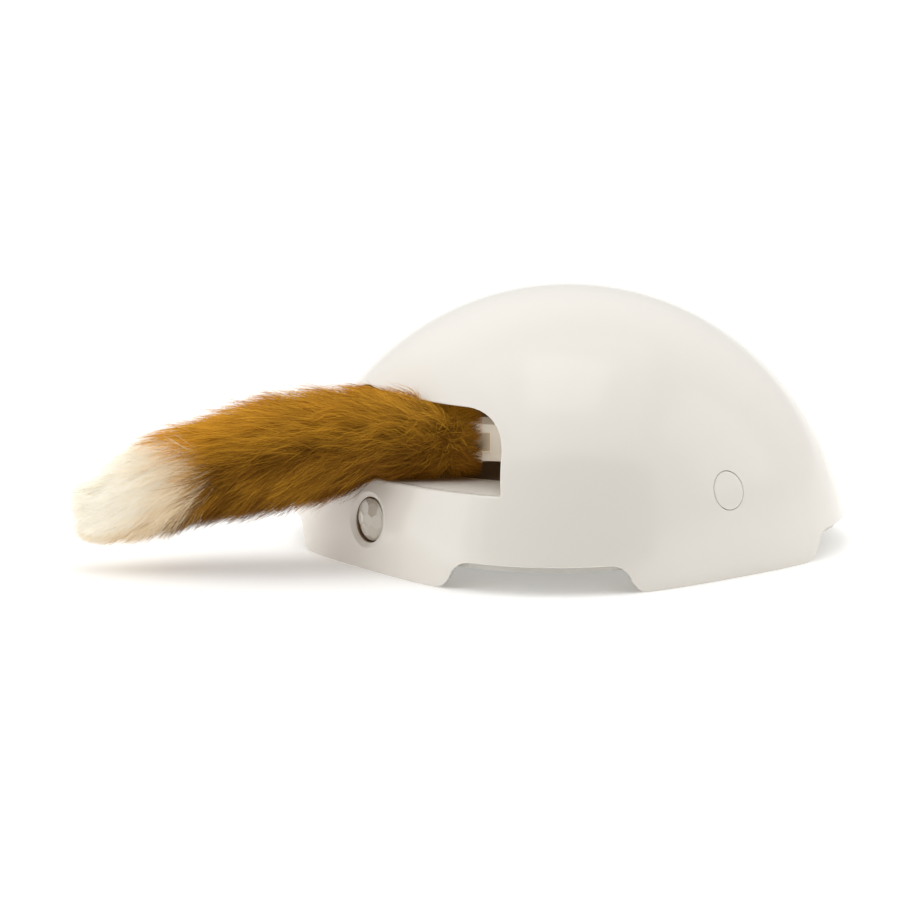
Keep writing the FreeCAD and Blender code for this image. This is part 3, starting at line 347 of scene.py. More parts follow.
def edge_height(azimuth):
    """Height of the dome's lower edge: two equal arcs make each ramp."""
    bend = (FOOT_RAMP ** 2 + ARCH_HEIGHT ** 2) / (4 * ARCH_HEIGHT)
    face = (azimuth + math.pi / 4) % (math.pi / 2) - math.pi / 4
    height = np.zeros_like(azimuth)
    for _ in range(30):
        across = np.abs(skin_radius(face, height) * np.sin(face))
        run = np.clip((across - FOOT_HALF) / FOOT_RAMP, 0.0, 1.0) * FOOT_RAMP
        near = bend - np.sqrt(np.maximum(bend ** 2 - run ** 2, 0.0))
        far = ARCH_HEIGHT - bend + np.sqrt(np.maximum(bend ** 2 - (FOOT_RAMP - run) ** 2, 0.0))
        target = np.where(run < FOOT_RAMP / 2, near, far)
        height = 0.5 * height + 0.5 * target
    return height


print("arch at a corner, mm:", round(float(edge_height(np.array([math.pi / 4]))[0]) / MM, 2))

# %% [markdown]
# The den opening, the sensor's dish and the button's hole are cut straight in, so in the view along
# their own axis each is a plain outline. A signed distance to that outline says which side a vertex
# lies on. The grid is clipped where the distance is zero, and the rim is swept from that edge.

# %% Outlines of the holes
LIP_Z = 37.5 * MM
OPENING_HALF = 63.2 * MM
SHOULDER = (49.9 * MM, 68.5 * MM)
OPENING_TOP_Z = 68.6 * MM
OPENING_ROUND = 27.0 * MM
LENS_Z = 20.4 * MM
DISH_RADIUS = 11.5 * MM
BUTTON_Z = 35.3 * MM
BUTTON_HOLE = 7.75 * MM
BUTTON_RADIUS = 7.5 * MM
CORNER_ROUND = 1.2 * MM


def rounded_union(first, second, radius):
    """Distance outside two edges that meet in a corner rounded from within."""
    a = np.maximum(first + radius, 0.0)
    b = np.maximum(second + radius, 0.0)
    return np.minimum(np.maximum(first, second), -radius) + np.sqrt(a * a + b * b)


TOP_RISE = OPENING_TOP_Z - SHOULDER[1]
TOP_ARC = (SHOULDER[0] ** 2 + TOP_RISE ** 2) / (2 * TOP_RISE)
ARC_CENTRE = np.array([0.0, OPENING_TOP_Z - TOP_ARC])


def shoulder_round():
    """Centre of the shoulder's round, and the ways from it square to the side and the top arc."""
    run = np.array([SHOULDER[0] - OPENING_HALF, SHOULDER[1] - LIP_Z])
    run /= np.linalg.norm(run)
    side_way = np.array([run[1], -run[0]])
    start = np.array([OPENING_HALF, LIP_Z]) - OPENING_ROUND * side_way - ARC_CENTRE
    half = start @ run
    along = -half + math.sqrt(half ** 2 - start @ start + (TOP_ARC - OPENING_ROUND) ** 2)
    centre = start + along * run
    return centre + ARC_CENTRE, side_way, centre / np.linalg.norm(centre)


ROUND_CENTRE, SIDE_WAY, TOP_WAY = shoulder_round()


def opening_distance(across, z):
    """Negative in the opening. Lip, leaning side and arched top, the shoulders rounded."""
    x = np.abs(across)
    side = (x - OPENING_HALF) * SIDE_WAY[0] + (z - LIP_Z) * SIDE_WAY[1]
    top = np.hypot(x - ARC_CENTRE[0], z - ARC_CENTRE[1]) - TOP_ARC
    dx, dz = x - ROUND_CENTRE[0], z - ROUND_CENTRE[1]
    in_round = (SIDE_WAY[0] * dz - SIDE_WAY[1] * dx > 0) & (dx * TOP_WAY[1] - dz * TOP_WAY[0] > 0)
    upper = np.where(in_round, np.hypot(dx, dz) - OPENING_ROUND, np.maximum(side, top))
    return rounded_union(upper, LIP_Z - z, CORNER_ROUND)


def round_distance(centre_z, radius):
    return lambda across, z: np.hypot(across, z - centre_z) - radius


def quarter_round(radius, steps):
    """Rim profile: (step into the hole, depth below the skin), rounded and then straight in."""
    turns = [math.pi / 2 * k / steps for k in range(1, steps + 1)]
    return [(radius * math.sin(t), radius * (1 - math.cos(t))) for t in turns] + [(radius, WALL)]


OPENING_LIP = 0.9 * MM
DISH_LIP = 0.4 * MM
BUTTON_LIP = 0.35 * MM
DISH_PROFILE = [(0.3 * MM, 0.04 * MM), (0.8 * MM, 0.3 * MM), (2.2 * MM, 1.05 * MM),
                (2.5 * MM, 1.25 * MM), (2.65 * MM, 1.6 * MM), (2.65 * MM, WALL)]
HOLES = [
    {"name": "opening", "axis": "front", "distance": opening_distance, "lip": OPENING_LIP,
     "profile": quarter_round(OPENING_LIP, 5)},
    {"name": "sensor", "axis": "front", "distance": round_distance(LENS_Z, DISH_RADIUS),
     "lip": DISH_LIP, "profile": DISH_PROFILE},
    {"name": "button", "axis": "side", "distance": round_distance(BUTTON_Z, BUTTON_HOLE),
     "lip": BUTTON_LIP, "profile": quarter_round(BUTTON_LIP, 3)},
]
print("holes:", ", ".join(hole["name"] for hole in HOLES))

# %% [markdown]
# The moulding itself: a grid of azimuths and heights from the crown to the lower edge, clipped at
# each hole. Every outer vertex has a partner on the inner skin, the rims join the two, and so the
# result is one closed wall. A boolean would do it too, but it leaves a ragged edge to round off.

# %% Build the dome
AROUND = 512
DOWN = 84


def hole_view(hole, point):
    """Sideways place and height of a point in the view along the hole's own axis."""
    if hole["axis"] == "front":
        ahead = point[1] < 0
        return point[0], point[2], ahead
    return point[1], point[2], point[0] > 0


def hole_value(hole, point):
    across, z, ahead = hole_view(hole, point)
    if not ahead:
        return 1.0
    return float(hole["distance"](np.float64(across), np.float64(z))) - hole["lip"]


class DomeBuilder:
    """Collects vertices, and faces with a normal at every corner."""

    def __init__(self):
        self.points = []
        self.faces = []
        self.face_normals = []

    def vertex(self, point):
        self.points.append(tuple(point))
        return len(self.points) - 1

    def face(self, corners, normals):
        self.faces.append(corners)
        self.face_normals.append(normals)


def grid_heights():
    azimuth = np.linspace(0, 2 * math.pi, AROUND, endpoint=False)
    low = edge_height(azimuth)
    tilt_low = np.arccos(np.clip((low - SPHERE_Z) / SPHERE_RADIUS, -1, 1))
    rows = []
    for k in range(1, DOWN + 1):
        tilt = tilt_low * k / DOWN
        rows.append(np.minimum(SPHERE_Z + SPHERE_RADIUS * np.cos(tilt), DOME_HEIGHT))
    return azimuth, np.array(rows)


def unit(vector):
    return vector / max(np.linalg.norm(vector), 1e-12)


def build_dome():
    azimuth, rows = grid_heights()
    outer = skin_point(azimuth[None, :], rows)
    inner_rows = SPHERE_Z + (SPHERE_RADIUS - WALL) * (rows - SPHERE_Z) / SPHERE_RADIUS
    inner_rows = np.maximum(inner_rows, rows[-1][None, :] * 0 + np.minimum(rows, inner_rows + WALL))
    inner_rows = np.minimum(inner_rows, rows)
    inner = skin_point(azimuth[None, :], inner_rows, WALL)
    normal = skin_normal(azimuth[None, :] + 0.0 * rows, rows)
    value = np.full(rows.shape, 1.0)
    for hole in HOLES:
        if hole["axis"] == "front":
            across, ahead = outer[..., 0], outer[..., 1] < 0
        else:
            across, ahead = outer[..., 1], outer[..., 0] > 0
        distance = hole["distance"](across, outer[..., 2]) - hole["lip"]
        hole["value"] = np.where(ahead, distance, 1.0)
        value = np.minimum(value, hole["value"])
    build = DomeBuilder()
    ids = {}

    def grid_vertex(j, i):
        key = (j, i % AROUND)
        if key not in ids:
            a = build.vertex(outer[key])
            b = build.vertex(inner[key])
            ids[key] = (a, b, normal[key])
        return ids[key]

    cuts = {}

    def cut_vertex(first, second, hole):
        """Point on the outline between two grid corners, refined so that it lies on it exactly."""
        key = tuple(sorted((first, second)))
        if key in cuts:
            return cuts[key]
        places = []
        for j, i in key:
            turn = azimuth[i % AROUND]
            places.append(np.array([turn, rows[j][i % AROUND]]))
        if places[1][0] - places[0][0] > math.pi:
            places[0][0] += 2 * math.pi
        if places[0][0] - places[1][0] > math.pi:
            places[1][0] += 2 * math.pi
        near, far = places
        if hole["value"][key[0][0], key[0][1] % AROUND] < 0:
            near, far = far, near
        for _ in range(22):
            middle = (near + far) / 2
            point = skin_point(np.array(middle[0]), np.array(middle[1]))
            if hole_value(hole, point) > 0:
                near = middle
            else:
                far = middle
        point = skin_point(np.array(near[0]), np.array(near[1]))
        surface = skin_normal(np.array([near[0]]), np.array([near[1]]))[0]
        across, z, _ = hole_view(hole, point)
        step = 1e-6
        slope = np.array([
            float(hole["distance"](np.float64(across + step), np.float64(z)) -
                  hole["distance"](np.float64(across - step), np.float64(z))),
            float(hole["distance"](np.float64(across), np.float64(z + step)) -
                  hole["distance"](np.float64(across), np.float64(z - step)))])
        slope = unit(slope)
        if hole["axis"] == "front":
            into = np.array([-slope[0], 0.0, -slope[1]])
            deep = np.array([0.0, 1.0, 0.0])
        else:
            into = np.array([0.0, -slope[0], -slope[1]])
            deep = np.array([-1.0, 0.0, 0.0])
        ring = [build.vertex(point)]
        ring_normals = [surface]
        before = np.zeros(2)
        for shift, depth in hole["profile"]:
            here = np.array([shift, depth])
            build_point = point + into * shift + deep * depth
            if hole["axis"] == "front":
                reach = float(reach_along(np.float64(build_point[0]), np.float64(build_point[2])))
                build_point[1] = -reach + depth
            else:
                reach = float(reach_along(np.float64(build_point[1]), np.float64(build_point[2])))
                build_point[0] = reach - depth
            ring.append(build.vertex(build_point))
            along = here - before
            before = here
            facing = unit(surface * along[0] + into * along[1])
            ring_normals.append(facing)
        cuts[key] = (ring, ring_normals)
        return cuts[key]

    corners = ((0, 0), (1, 0), (1, 1), (0, 1))
    for j in range(DOWN - 1):
        for i in range(AROUND):
            keys = [(j + dj, i + di) for dj, di in corners]
            keys = [(a, b % AROUND) for a, b in keys]
            inside = [value[k] < 0 for k in keys]
            if all(inside):
                continue
            if not any(inside):
                made = [grid_vertex(*k) for k in keys]
                build.face([m[0] for m in made], [m[2] for m in made])
                build.face([m[1] for m in reversed(made)], [-m[2] for m in reversed(made)])
                continue
            hole = min(HOLES, key=lambda item: min(item["value"][k] for k in keys))
            outer_loop, inner_loop, entering = [], [], []
            for n in range(4):
                here, there = keys[n], keys[(n + 1) % 4]
                if not inside[n]:
                    a, b, face_normal = grid_vertex(*here)
                    outer_loop.append((a, face_normal))
                    inner_loop.append((b, -face_normal))
                if inside[n] != inside[(n + 1) % 4]:
                    cut = cut_vertex(here, there, hole)
                    outer_loop.append((cut[0][0], cut[1][0]))
                    inner_loop.append((cut[0][-1], -cut[1][0]))
                    entering.append((inside[(n + 1) % 4], cut))
            build.face([a for a, _ in outer_loop], [b for _, b in outer_loop])
            build.face([a for a, _ in reversed(inner_loop)], [b for _, b in reversed(inner_loop)])
            if len(entering) == 2:
                first = entering[0][1] if entering[0][0] else entering[1][1]
                last = entering[1][1] if entering[0][0] else entering[0][1]
                for k in range(len(first[0]) - 1):
                    build.face([last[0][k], first[0][k], first[0][k + 1], last[0][k + 1]],
                               [last[1][k], first[1][k], first[1][k + 1], last[1][k + 1]])
    add_crown(build, grid_vertex)
    add_lower_edge(build, grid_vertex, azimuth)
    return build


def add_crown(build, grid_vertex):
    top = build.vertex((0.0, 0.0, DOME_HEIGHT))
    under = build.vertex((0.0, 0.0, DOME_HEIGHT - WALL))
    up = np.array([0.0, 0.0, 1.0])
    for i in range(AROUND):
        a, b = grid_vertex(0, i), grid_vertex(0, i + 1)
        build.face([top, a[0], b[0]], [up, a[2], b[2]])
        build.face([under, b[1], a[1]], [-up, -b[2], -a[2]])


def add_lower_edge(build, grid_vertex, azimuth):
    """A small round along the outer lower edge, then the flat underside of the wall."""
    radius = 0.5 * MM
    turns = [math.pi / 2 * k / 3 for k in (1, 2, 3)]
    rings = []
    for i in range(AROUND):
        a, b, normal = grid_vertex(DOWN - 1, i)
        outside = np.array(build.points[a])
        inside = np.array(build.points[b])
        level = unit(np.array([normal[0], normal[1], 0.0]))
        down = np.array([0.0, 0.0, -1.0])
        ring, facing = [a], [normal]
        build.points[a] = tuple(outside + np.array([0.0, 0.0, radius]))
        for t in turns:
            rise = np.array([0, 0, radius * (1 - math.sin(t))])
            place = outside - level * radius * (1 - math.cos(t)) + rise
            ring.append(build.vertex(place))
            facing.append(unit(level * math.cos(t) + down * math.sin(t)))
        ring.append(b)
        facing.append(down)
        build.points[b] = (inside[0], inside[1], outside[2])
        rings.append((ring, facing))
    for i in range(AROUND):
        first, second = rings[i], rings[(i + 1) % AROUND]
        for k in range(len(first[0]) - 1):
            build.face([first[0][k], first[0][k + 1], second[0][k + 1], second[0][k]],
                       [first[1][k], first[1][k + 1], second[1][k + 1], second[1][k]])


def mesh_object(name, points, faces, corner_normals=None):
    mesh = bpy.data.meshes.new(name)
    mesh.from_pydata([tuple(p) for p in points], [], faces)
    mesh.polygons.foreach_set("use_smooth", [True] * len(mesh.polygons))
    if corner_normals is not None:
        mesh.normals_split_custom_set(corner_normals)
    mesh.update()
    obj = bpy.data.objects.new(name, mesh)
    bpy.context.collection.objects.link(obj)
    return obj


def make_dome():
    build = build_dome()
    flat_normals = [tuple(n) for normals in build.face_normals for n in normals]
    dome = mesh_object("dome_cover", build.points, build.faces, flat_normals)
    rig.ride(dome, "base")
    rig.replaces(dome, "dome_shell")
    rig.slot(dome, "shell_white")
    print("dome:", len(build.faces), "faces")
    return dome


dome = make_dome()

# %% [markdown]
# The two moulded pieces of the arm keep the solid's own shape. Real mouldings have no sharp edge,
# so a copy of each gets its flat faces merged and a small bevel, which catches the light. The solid
# itself isn't moved: the copy rides on the same body.

# %% Round the edges of the small mouldings
FLAT_ANGLE = math.radians(1.0)
SHARP_ANGLE = math.radians(35)
CREASE_ANGLE = math.radians(40)


def softened(name, body, width, slot_name):
    node = frame["nodes"][name]
    made = node.copy()
    made.data = node.data.copy()
    made.name = name + "_soft"
    made.parent = None
    made.matrix_world = Matrix.Identity(4)
    bpy.context.collection.objects.link(made)
    for key in list(made.keys()):
        del made[key]
    mesh = made.data
    work = bmesh.new()
    work.from_mesh(mesh)
    bmesh.ops.remove_doubles(work, verts=work.verts, dist=1e-6)
    bmesh.ops.dissolve_limit(work, angle_limit=FLAT_ANGLE, verts=work.verts, edges=work.edges)
    sharp = [e for e in work.edges if len(e.link_faces) == 2 and e.calc_face_angle() > SHARP_ANGLE]
    bmesh.ops.bevel(work, geom=sharp, offset=width, segments=2, profile=0.5, affect="EDGES",
                    clamp_overlap=True)
    for face in work.faces:
        face.smooth = True
    for edge in work.edges:
        if len(edge.link_faces) == 2 and edge.calc_face_angle(0.0) > CREASE_ANGLE:
            edge.smooth = False
    work.to_mesh(mesh)
    work.free()
    mesh.materials.clear()
    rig.ride(made, body)
    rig.replaces(made, name)
    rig.slot(made, slot_name)
    return made


arm = softened("tail_arm", "arm", 0.5 * MM, "den_white")
cap = softened("arm_cap", "arm", 0.6 * MM, "den_white")
print("softened:", len(arm.data.polygons), len(cap.data.polygons), "faces")

# %% [markdown]
# The push button is a thin cap that repeats the dome's skin, a hair lower, inside a fine gap. A
# polar grid follows the same formula as the dome, so the highlights run on across the gap.

# %% Push button
BUTTON_SINK = 0.06 * MM
BUTTON_SKIRT = 3.0 * MM


def polar_cap(name, rings, sectors, place):
    """Rings of points from a centre outwards; place gives a point for a ring and an angle."""
    points = [place(0, 0.0)]
    for j in range(1, rings):
        for i in range(sectors):
            points.append(place(j, 2 * math.pi * i / sectors))
    faces = [(0, 1 + i, 1 + (i + 1) % sectors) for i in range(sectors)]
    for j in range(1, rings - 1):
        low, high = 1 + (j - 1) * sectors, 1 + j * sectors
        for i in range(sectors):
            k = (i + 1) % sectors
            faces.append((low + i, high + i, high + k, low + k))
    return mesh_object(name, points, faces)


def make_button():
    edge = BUTTON_LIP
    radii = [BUTTON_RADIUS * k / 8 for k in range(8)] + [BUTTON_RADIUS - edge]
    drops = [0.0] * 9
    for k in range(1, 5):
        turn = math.pi / 2 * k / 4
        radii.append(BUTTON_RADIUS - edge * (1 - math.sin(turn)))
        drops.append(edge * (1 - math.cos(turn)))
    radii.append(BUTTON_RADIUS)
    drops.append(BUTTON_SKIRT)

    def place(ring, angle):
        y = radii[ring] * math.cos(angle)
        z = BUTTON_Z + radii[ring] * math.sin(angle)
        reach = float(reach_along(np.float64(y), np.float64(z)))
        return (reach - BUTTON_SINK - drops[ring], y, z)

    made = polar_cap("button_cap", len(radii), 72, place)
    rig.ride(made, "button")
    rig.replaces(made, "mode_button")
    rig.slot(made, "shell_white")
    return made


button = make_button()
print("button:", len(button.data.polygons), "faces")

# %% [markdown]
# The sensor window is a milky cap moulded as a honeycomb of flat facets, each square to its own
# line of sight. The planes that touch a shallow bowl at the cells' centres cut each other in
# exactly that honeycomb, so the height at a point is simply that of the lowest plane.

# %% Sensor window
LENS_RADIUS = 8.6 * MM
LENS_FACET = 5.2 * MM
LENS_FRONT = 103.0 * MM
LENS_DOME = 1.7 * MM
LENS_RIDGE = 0.10 * MM
LENS_SKIRT_STEP = 1.2 * MM


def facet_height(x, y):
    """Height of the lowest tangent plane, with a fine ridge where two planes meet."""
    rows = LENS_FACET * math.sqrt(3) / 2
    heights = []
    for j in range(-3, 4):
        for i in range(-3, 4):
            cx, cy = (i + (0.5 if j % 2 else 0.0)) * LENS_FACET, j * rows
            fall = (2 * (cx * x + cy * y) - cx * cx - cy * cy) / LENS_RADIUS ** 2
            heights.append(LENS_DOME * (1 - fall))
    lowest, second = sorted(heights)[:2]
    return lowest + LENS_RIDGE * max(0.0, 1.0 - (second - lowest) / LENS_RIDGE)


def make_lens():
    """Rings up to the rim carry the facets; the last three are a skirt that runs straight back."""
    rings = 58
    rim = rings - 4

    def place(ring, angle):
        radius = LENS_RADIUS if ring > rim else LENS_RADIUS * ring / rim
        x, y = radius * math.cos(angle), radius * math.sin(angle)
        if ring > rim:
            return (x, -LENS_FRONT + (ring - rim) * LENS_SKIRT_STEP, LENS_Z + y)
        height = max(facet_height(x, y), 0.0) * min(1.0, (LENS_RADIUS - radius) / LENS_FACET * 6)
        return (x, -LENS_FRONT - height, LENS_Z + y)

    made = polar_cap("sensor_window", rings, 144, place)
    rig.ride(made, "base")
    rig.replaces(made, "motion_lens")
    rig.slot(made, "lens_milk")
    return made


lens = make_lens()
print("window:", len(lens.data.polygons), "faces")

# %% [markdown]
# The tail is long plush over a stuffed core. At rest it leaves the den to the left, swells, droops
# and thins to a pale tip. The line and the thickness of the fur are two short tables along it.
# The plush bends at the same three places as the solids: each piece blends across one joint.

# %% The tail's line, thickness and bends
HEADING = math.radians(-37.4)
TAIL_ALONG = np.array([math.sin(HEADING), -math.cos(HEADING), 0.0])
TAIL_ACROSS = np.array([math.cos(HEADING), math.sin(HEADING), 0.0])
PIVOT = np.array([24.2855, -65.6522, 0.0]) * MM
CORE_LINE = ((0, 52.9), (30, 53.0), (67, 51.6), (100, 46.2), (132, 35.2), (156, 25.6), (175, 17.5))
CORE_RADIUS = ((9, 9.0), (18, 11.6), (38, 12.3), (80, 12.2), (120, 11.2), (140, 9.6),
               (152, 7.0), (159, 2.0))
FUR_LINE = ((-4, 51.5), (8, 51.6), (24, 52.9), (42, 53.8), (54, 52.8), (67, 50.5), (80, 48.3),
            (93, 45.6), (106, 42.2), (119, 38.8), (132, 33.4), (145, 27.2), (158, 23.2), (168, 20.4))
FUR_HALF = ((-4, 11.0), (0, 14.6), (8, 16.6), (24, 18.8), (38, 21.6), (48, 23.0), (54, 23.9),
            (67, 25.2), (80, 26.6), (93, 26.0), (106, 24.6), (119, 23.2), (132, 22.6), (140, 21.4),
            (152, 17.2), (160, 14.0), (165, 10.6), (168, 7.5))
BENDS = (67.0, 100.2, 132.0)
BLEND_HALF = 12.0
EASE_REACH = 7.0


def table(pairs, place):
    places, values = zip(*pairs)
    return np.interp(place, places, values)


def smooth_table(pairs, place):
    """The table's straight runs eased by averaging over a short stretch."""
    steps = np.linspace(-1.0, 1.0, 9)
    return sum(table(pairs, place + EASE_REACH * step) for step in steps) / len(steps)


def line_point(pairs, u):
    u = np.asarray(u, float)
    z = smooth_table(pairs, u)
    return PIVOT + TAIL_ALONG * (u * MM)[..., None] + np.array([0, 0, 1.0]) * (z * MM)[..., None]


def ring_way(pairs, u, angle):
    """Outward direction square to the line; angle 0 is up and a quarter turn is to the side."""
    slope = (smooth_table(pairs, u + 1.0) - smooth_table(pairs, u - 1.0)) / 2.0
    up = np.array([0, 0, 1.0]) - TAIL_ALONG * slope[..., None]
    up = up / np.linalg.norm(up, axis=-1, keepdims=True)
    return up * np.cos(angle)[..., None] + TAIL_ACROSS * np.sin(angle)[..., None]


# %% [markdown]
# The stuffed core is a lathe form along that line, in five pieces that meet where nothing bends.

# %% Stuffed core
CORE_CUTS = (9.0, 42.0, 84.0, 116.0, 146.0, 159.0)
PIECE_BODIES = (("tail_root",), ("tail_root", "tail_middle"), ("tail_middle", "tail_bend"),
                ("tail_bend", "tail_tip"), ("tail_tip",))
REPLACED = (("tail_root",), ("tail_middle",), ("tail_bend",), (), ("tail_tip",))


def bend_points(index):
    """Where the blend across a joint starts and ends, either side of the bend."""
    u = np.array([BENDS[index] - BLEND_HALF, BENDS[index] + BLEND_HALF])
    return line_point(CORE_LINE, u)


def attach(obj, piece):
    bodies = PIECE_BODIES[piece]
    if len(bodies) == 1:
        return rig.ride(obj, bodies[0])
    start, end = bend_points(piece - 1)
    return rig.blend(obj, bodies[0], bodies[1], start, end)


def make_core(piece):
    low, high = CORE_CUTS[piece], CORE_CUTS[piece + 1]
    stations = np.linspace(low, high, max(int((high - low) / 2), 6))
    sectors = 40
    angles = np.linspace(0, 2 * math.pi, sectors, endpoint=False)
    points = []
    for u in stations:
        centre = line_point(CORE_LINE, u)
        way = ring_way(CORE_LINE, np.full(sectors, u), angles)
        points.extend(centre + way * table(CORE_RADIUS, u) * MM)
    faces = []
    for j in range(len(stations) - 1):
        for i in range(sectors):
            k = (i + 1) % sectors
            here, there = j * sectors, (j + 1) * sectors
            faces.append((here + i, there + i, there + k, here + k))
    faces.append(tuple(range(sectors)))
    faces.append(tuple(reversed(range((len(stations) - 1) * sectors, len(stations) * sectors))))
    core = mesh_object("tail_core_%d" % piece, points, faces)
    attach(core, piece)
    if REPLACED[piece]:
        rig.replaces(core, *REPLACED[piece])
    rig.slot(core, "fur_cream" if piece == 4 else "fur_brown")
    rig.padded(core, 0.8)
    return core


cores = [make_core(k) for k in range(5)]
print("core pieces:", len(cores))

# %% [markdown]
# The fur is geometry: sixty thousand thin tapered ribbons. They grow in locks. A guide hair
# gives each lock its root, its lie and its end on the fur's outer form; the other hairs of the lock
# start around it and draw together towards its end. On the lower half the pile sweeps downwards,
# so a parting runs along the side, and a collar of hairs at the root lies back over the arm.

# %% Grow the fur
LOCKS = 2700
COLLAR_LOCKS = 300
HAIRS_PER_LOCK = 20
HAIR_STEPS = 6
HAIR_WIDTH = 0.31 * MM
FUR_CUTS = (-5.0, 24.0, 72.0, 104.0, 134.0, 200.0)
FUR_END = 166.5
PALE_AT_SIDE = 103.0
PALE_AT_TOP = 110.0
PALE_AT_BELOW = 127.0


def hair_curve(root, middle, end, steps):
    t = np.linspace(0, 1, steps)[None, :, None]
    return root[:, None] * (1 - t) ** 2 + middle[:, None] * 2 * t * (1 - t) + end[:, None] * t ** 2


def pressed_aside(points):
    """Keeps hairs above the den floor and under the opening's top edge where they cross the wall."""
    x, y, z = points[..., 0], points[..., 1], points[..., 2]
    azimuth = np.arctan2(x, -y)
    radius = np.hypot(x, y)
    floor_zone = radius < skin_radius(azimuth, np.full_like(z, LIP_Z)) + 1.0 * MM
    z = np.where(floor_zone, np.maximum(z, LIP_Z + 0.6 * MM), z)
    top = ARC_CENTRE[1] + np.sqrt(np.maximum(TOP_ARC ** 2 - x ** 2, 0)) - 1.0 * MM
    outside = skin_radius(azimuth, z) + 0.6 * MM
    inside = skin_radius(azimuth, z, WALL) - 1.0 * MM
    in_wall = (radius < outside) & (radius > inside) & (z > top)
    z = np.where(in_wall, top, z)
    return np.stack([x, y, z], -1)


def lock_guides(chance):
    """Root, lie and end of every lock: first the pile along the tail, then the collar at its root."""
    root_u = chance.uniform(9.5, 157.0, LOCKS)
    angle = chance.uniform(0, 2 * math.pi, LOCKS)
    length = table(((9, 12), (30, 17), (70, 21), (110, 22), (145, 19), (158, 13)), root_u)
    length = length * chance.uniform(0.75, 1.25, LOCKS)
    near_root = np.clip((24.0 - root_u) / 15.0, 0, 1)
    run = length * (0.93 - 0.75 * near_root * chance.uniform(0.4, 1.4, LOCKS))
    end_u = root_u + run
    beyond = np.maximum(end_u - FUR_END + 5.0, 0.0)
    end_u = end_u - 0.85 * beyond
    # the lower half of the pile is combed down, the upper half stays along the tail
    downward = np.clip(-np.cos(angle) + 0.25, 0.0, 1.0) * np.sign(np.sin(angle))
    end_angle = angle + chance.normal(0, 0.20, LOCKS) + 0.42 * downward - 0.05
    fullness = 0.52 + 0.48 * np.sqrt(chance.uniform(0, 1, LOCKS))
    collar_u = chance.uniform(9.4, 16.0, COLLAR_LOCKS)
    collar_angle = chance.uniform(0, 2 * math.pi, COLLAR_LOCKS)
    collar_end = chance.uniform(-1.5, 9.0, COLLAR_LOCKS)
    collar_full = chance.uniform(0.72, 1.0, COLLAR_LOCKS)
    collar_lie = collar_angle + chance.normal(0, 0.3, COLLAR_LOCKS)
    return (np.append(root_u, collar_u), np.append(angle, collar_angle), np.append(end_u, collar_end),
            np.append(end_angle, collar_lie), np.append(fullness, collar_full))


def grow_fur(seed):
    chance = np.random.default_rng(seed)
    root_u, angle, end_u, end_angle, fullness = lock_guides(chance)
    count = len(root_u)
    per = HAIRS_PER_LOCK
    spread = lambda value: np.repeat(value, per)
    total = count * per
    radius = table(CORE_RADIUS, root_u)
    hair_root_u = np.clip(spread(root_u) + chance.normal(0, 2.0, total), 9.2, 158.0)
    scatter = np.clip(chance.normal(0, 1, total), -1.5, 1.5)
    hair_angle = spread(angle) + scatter * spread(2.2 / np.maximum(radius, 5.0))
    hair_end_u = np.clip(spread(end_u) + chance.normal(0, 2.2, total), -0.8, FUR_END + 1.2)
    hair_end_angle = spread(end_angle) + chance.normal(0, 0.085, total)
    hair_full = spread(fullness) * chance.normal(1.0, 0.05, total)
    stray = chance.uniform(0, 1, total) < 0.04
    hair_full = np.where(stray, hair_full * chance.uniform(1.0, 1.12, total), hair_full)
    root_way = ring_way(CORE_LINE, hair_root_u, hair_angle)
    stem = (table(CORE_RADIUS, hair_root_u) * MM * 0.97)[:, None]
    root = line_point(CORE_LINE, hair_root_u) + root_way * stem
    end_way = ring_way(FUR_LINE, hair_end_u, hair_end_angle)
    # over the opening's lip the underside is pressed up
    lip_press = np.exp(-((hair_end_u - 50.0) / 9.0) ** 2) * np.clip(-np.cos(hair_end_angle), 0, 1)
    half = table(FUR_HALF, hair_end_u) * hair_full * (0.96 - 0.27 * lip_press)
    core_half = table(CORE_RADIUS, np.minimum(hair_end_u, 159.0)) * 1.04
    half = np.where(hair_end_u < 155, np.maximum(half, core_half), half)
    end = line_point(FUR_LINE, hair_end_u) + end_way * (half * MM)[:, None]
    middle_u = hair_root_u * 0.62 + hair_end_u * 0.38
    middle_way = ring_way(FUR_LINE, middle_u, hair_angle * 0.6 + hair_end_angle * 0.4)
    middle_half = 0.30 * table(CORE_RADIUS, np.clip(middle_u, 9.0, 158)) + 0.70 * half
    middle_half = middle_half * spread(chance.uniform(0.92, 1.12, count))
    middle = line_point(FUR_LINE, middle_u) + middle_way * (middle_half * MM)[:, None]
    curve = hair_curve(root, middle, end, HAIR_STEPS)
    t = np.linspace(0, 1, HAIR_STEPS)
    wave = np.sin(t[None, :] * 4.0 + spread(chance.uniform(0, 6, count))[:, None]) * (t ** 1.3)[None, :]
    sway = (spread(chance.normal(0, 1.2, count)) + chance.normal(0, 0.35, total))[:, None] * wave * MM
    side = np.cross(end - root, root_way)
    side /= np.maximum(np.linalg.norm(side, axis=-1, keepdims=True), 1e-9)
    curve += side[:, None] * sway[..., None]
    curve = pressed_aside(curve)
    return {"curve": curve, "root_u": hair_root_u, "end_u": hair_end_u, "angle": hair_angle,
            "end_angle": hair_end_angle, "full": hair_full, "way": root_way, "end_way": end_way,
            "chance": chance, "lock": np.repeat(np.arange(count), per), "count": total, "locks": count}


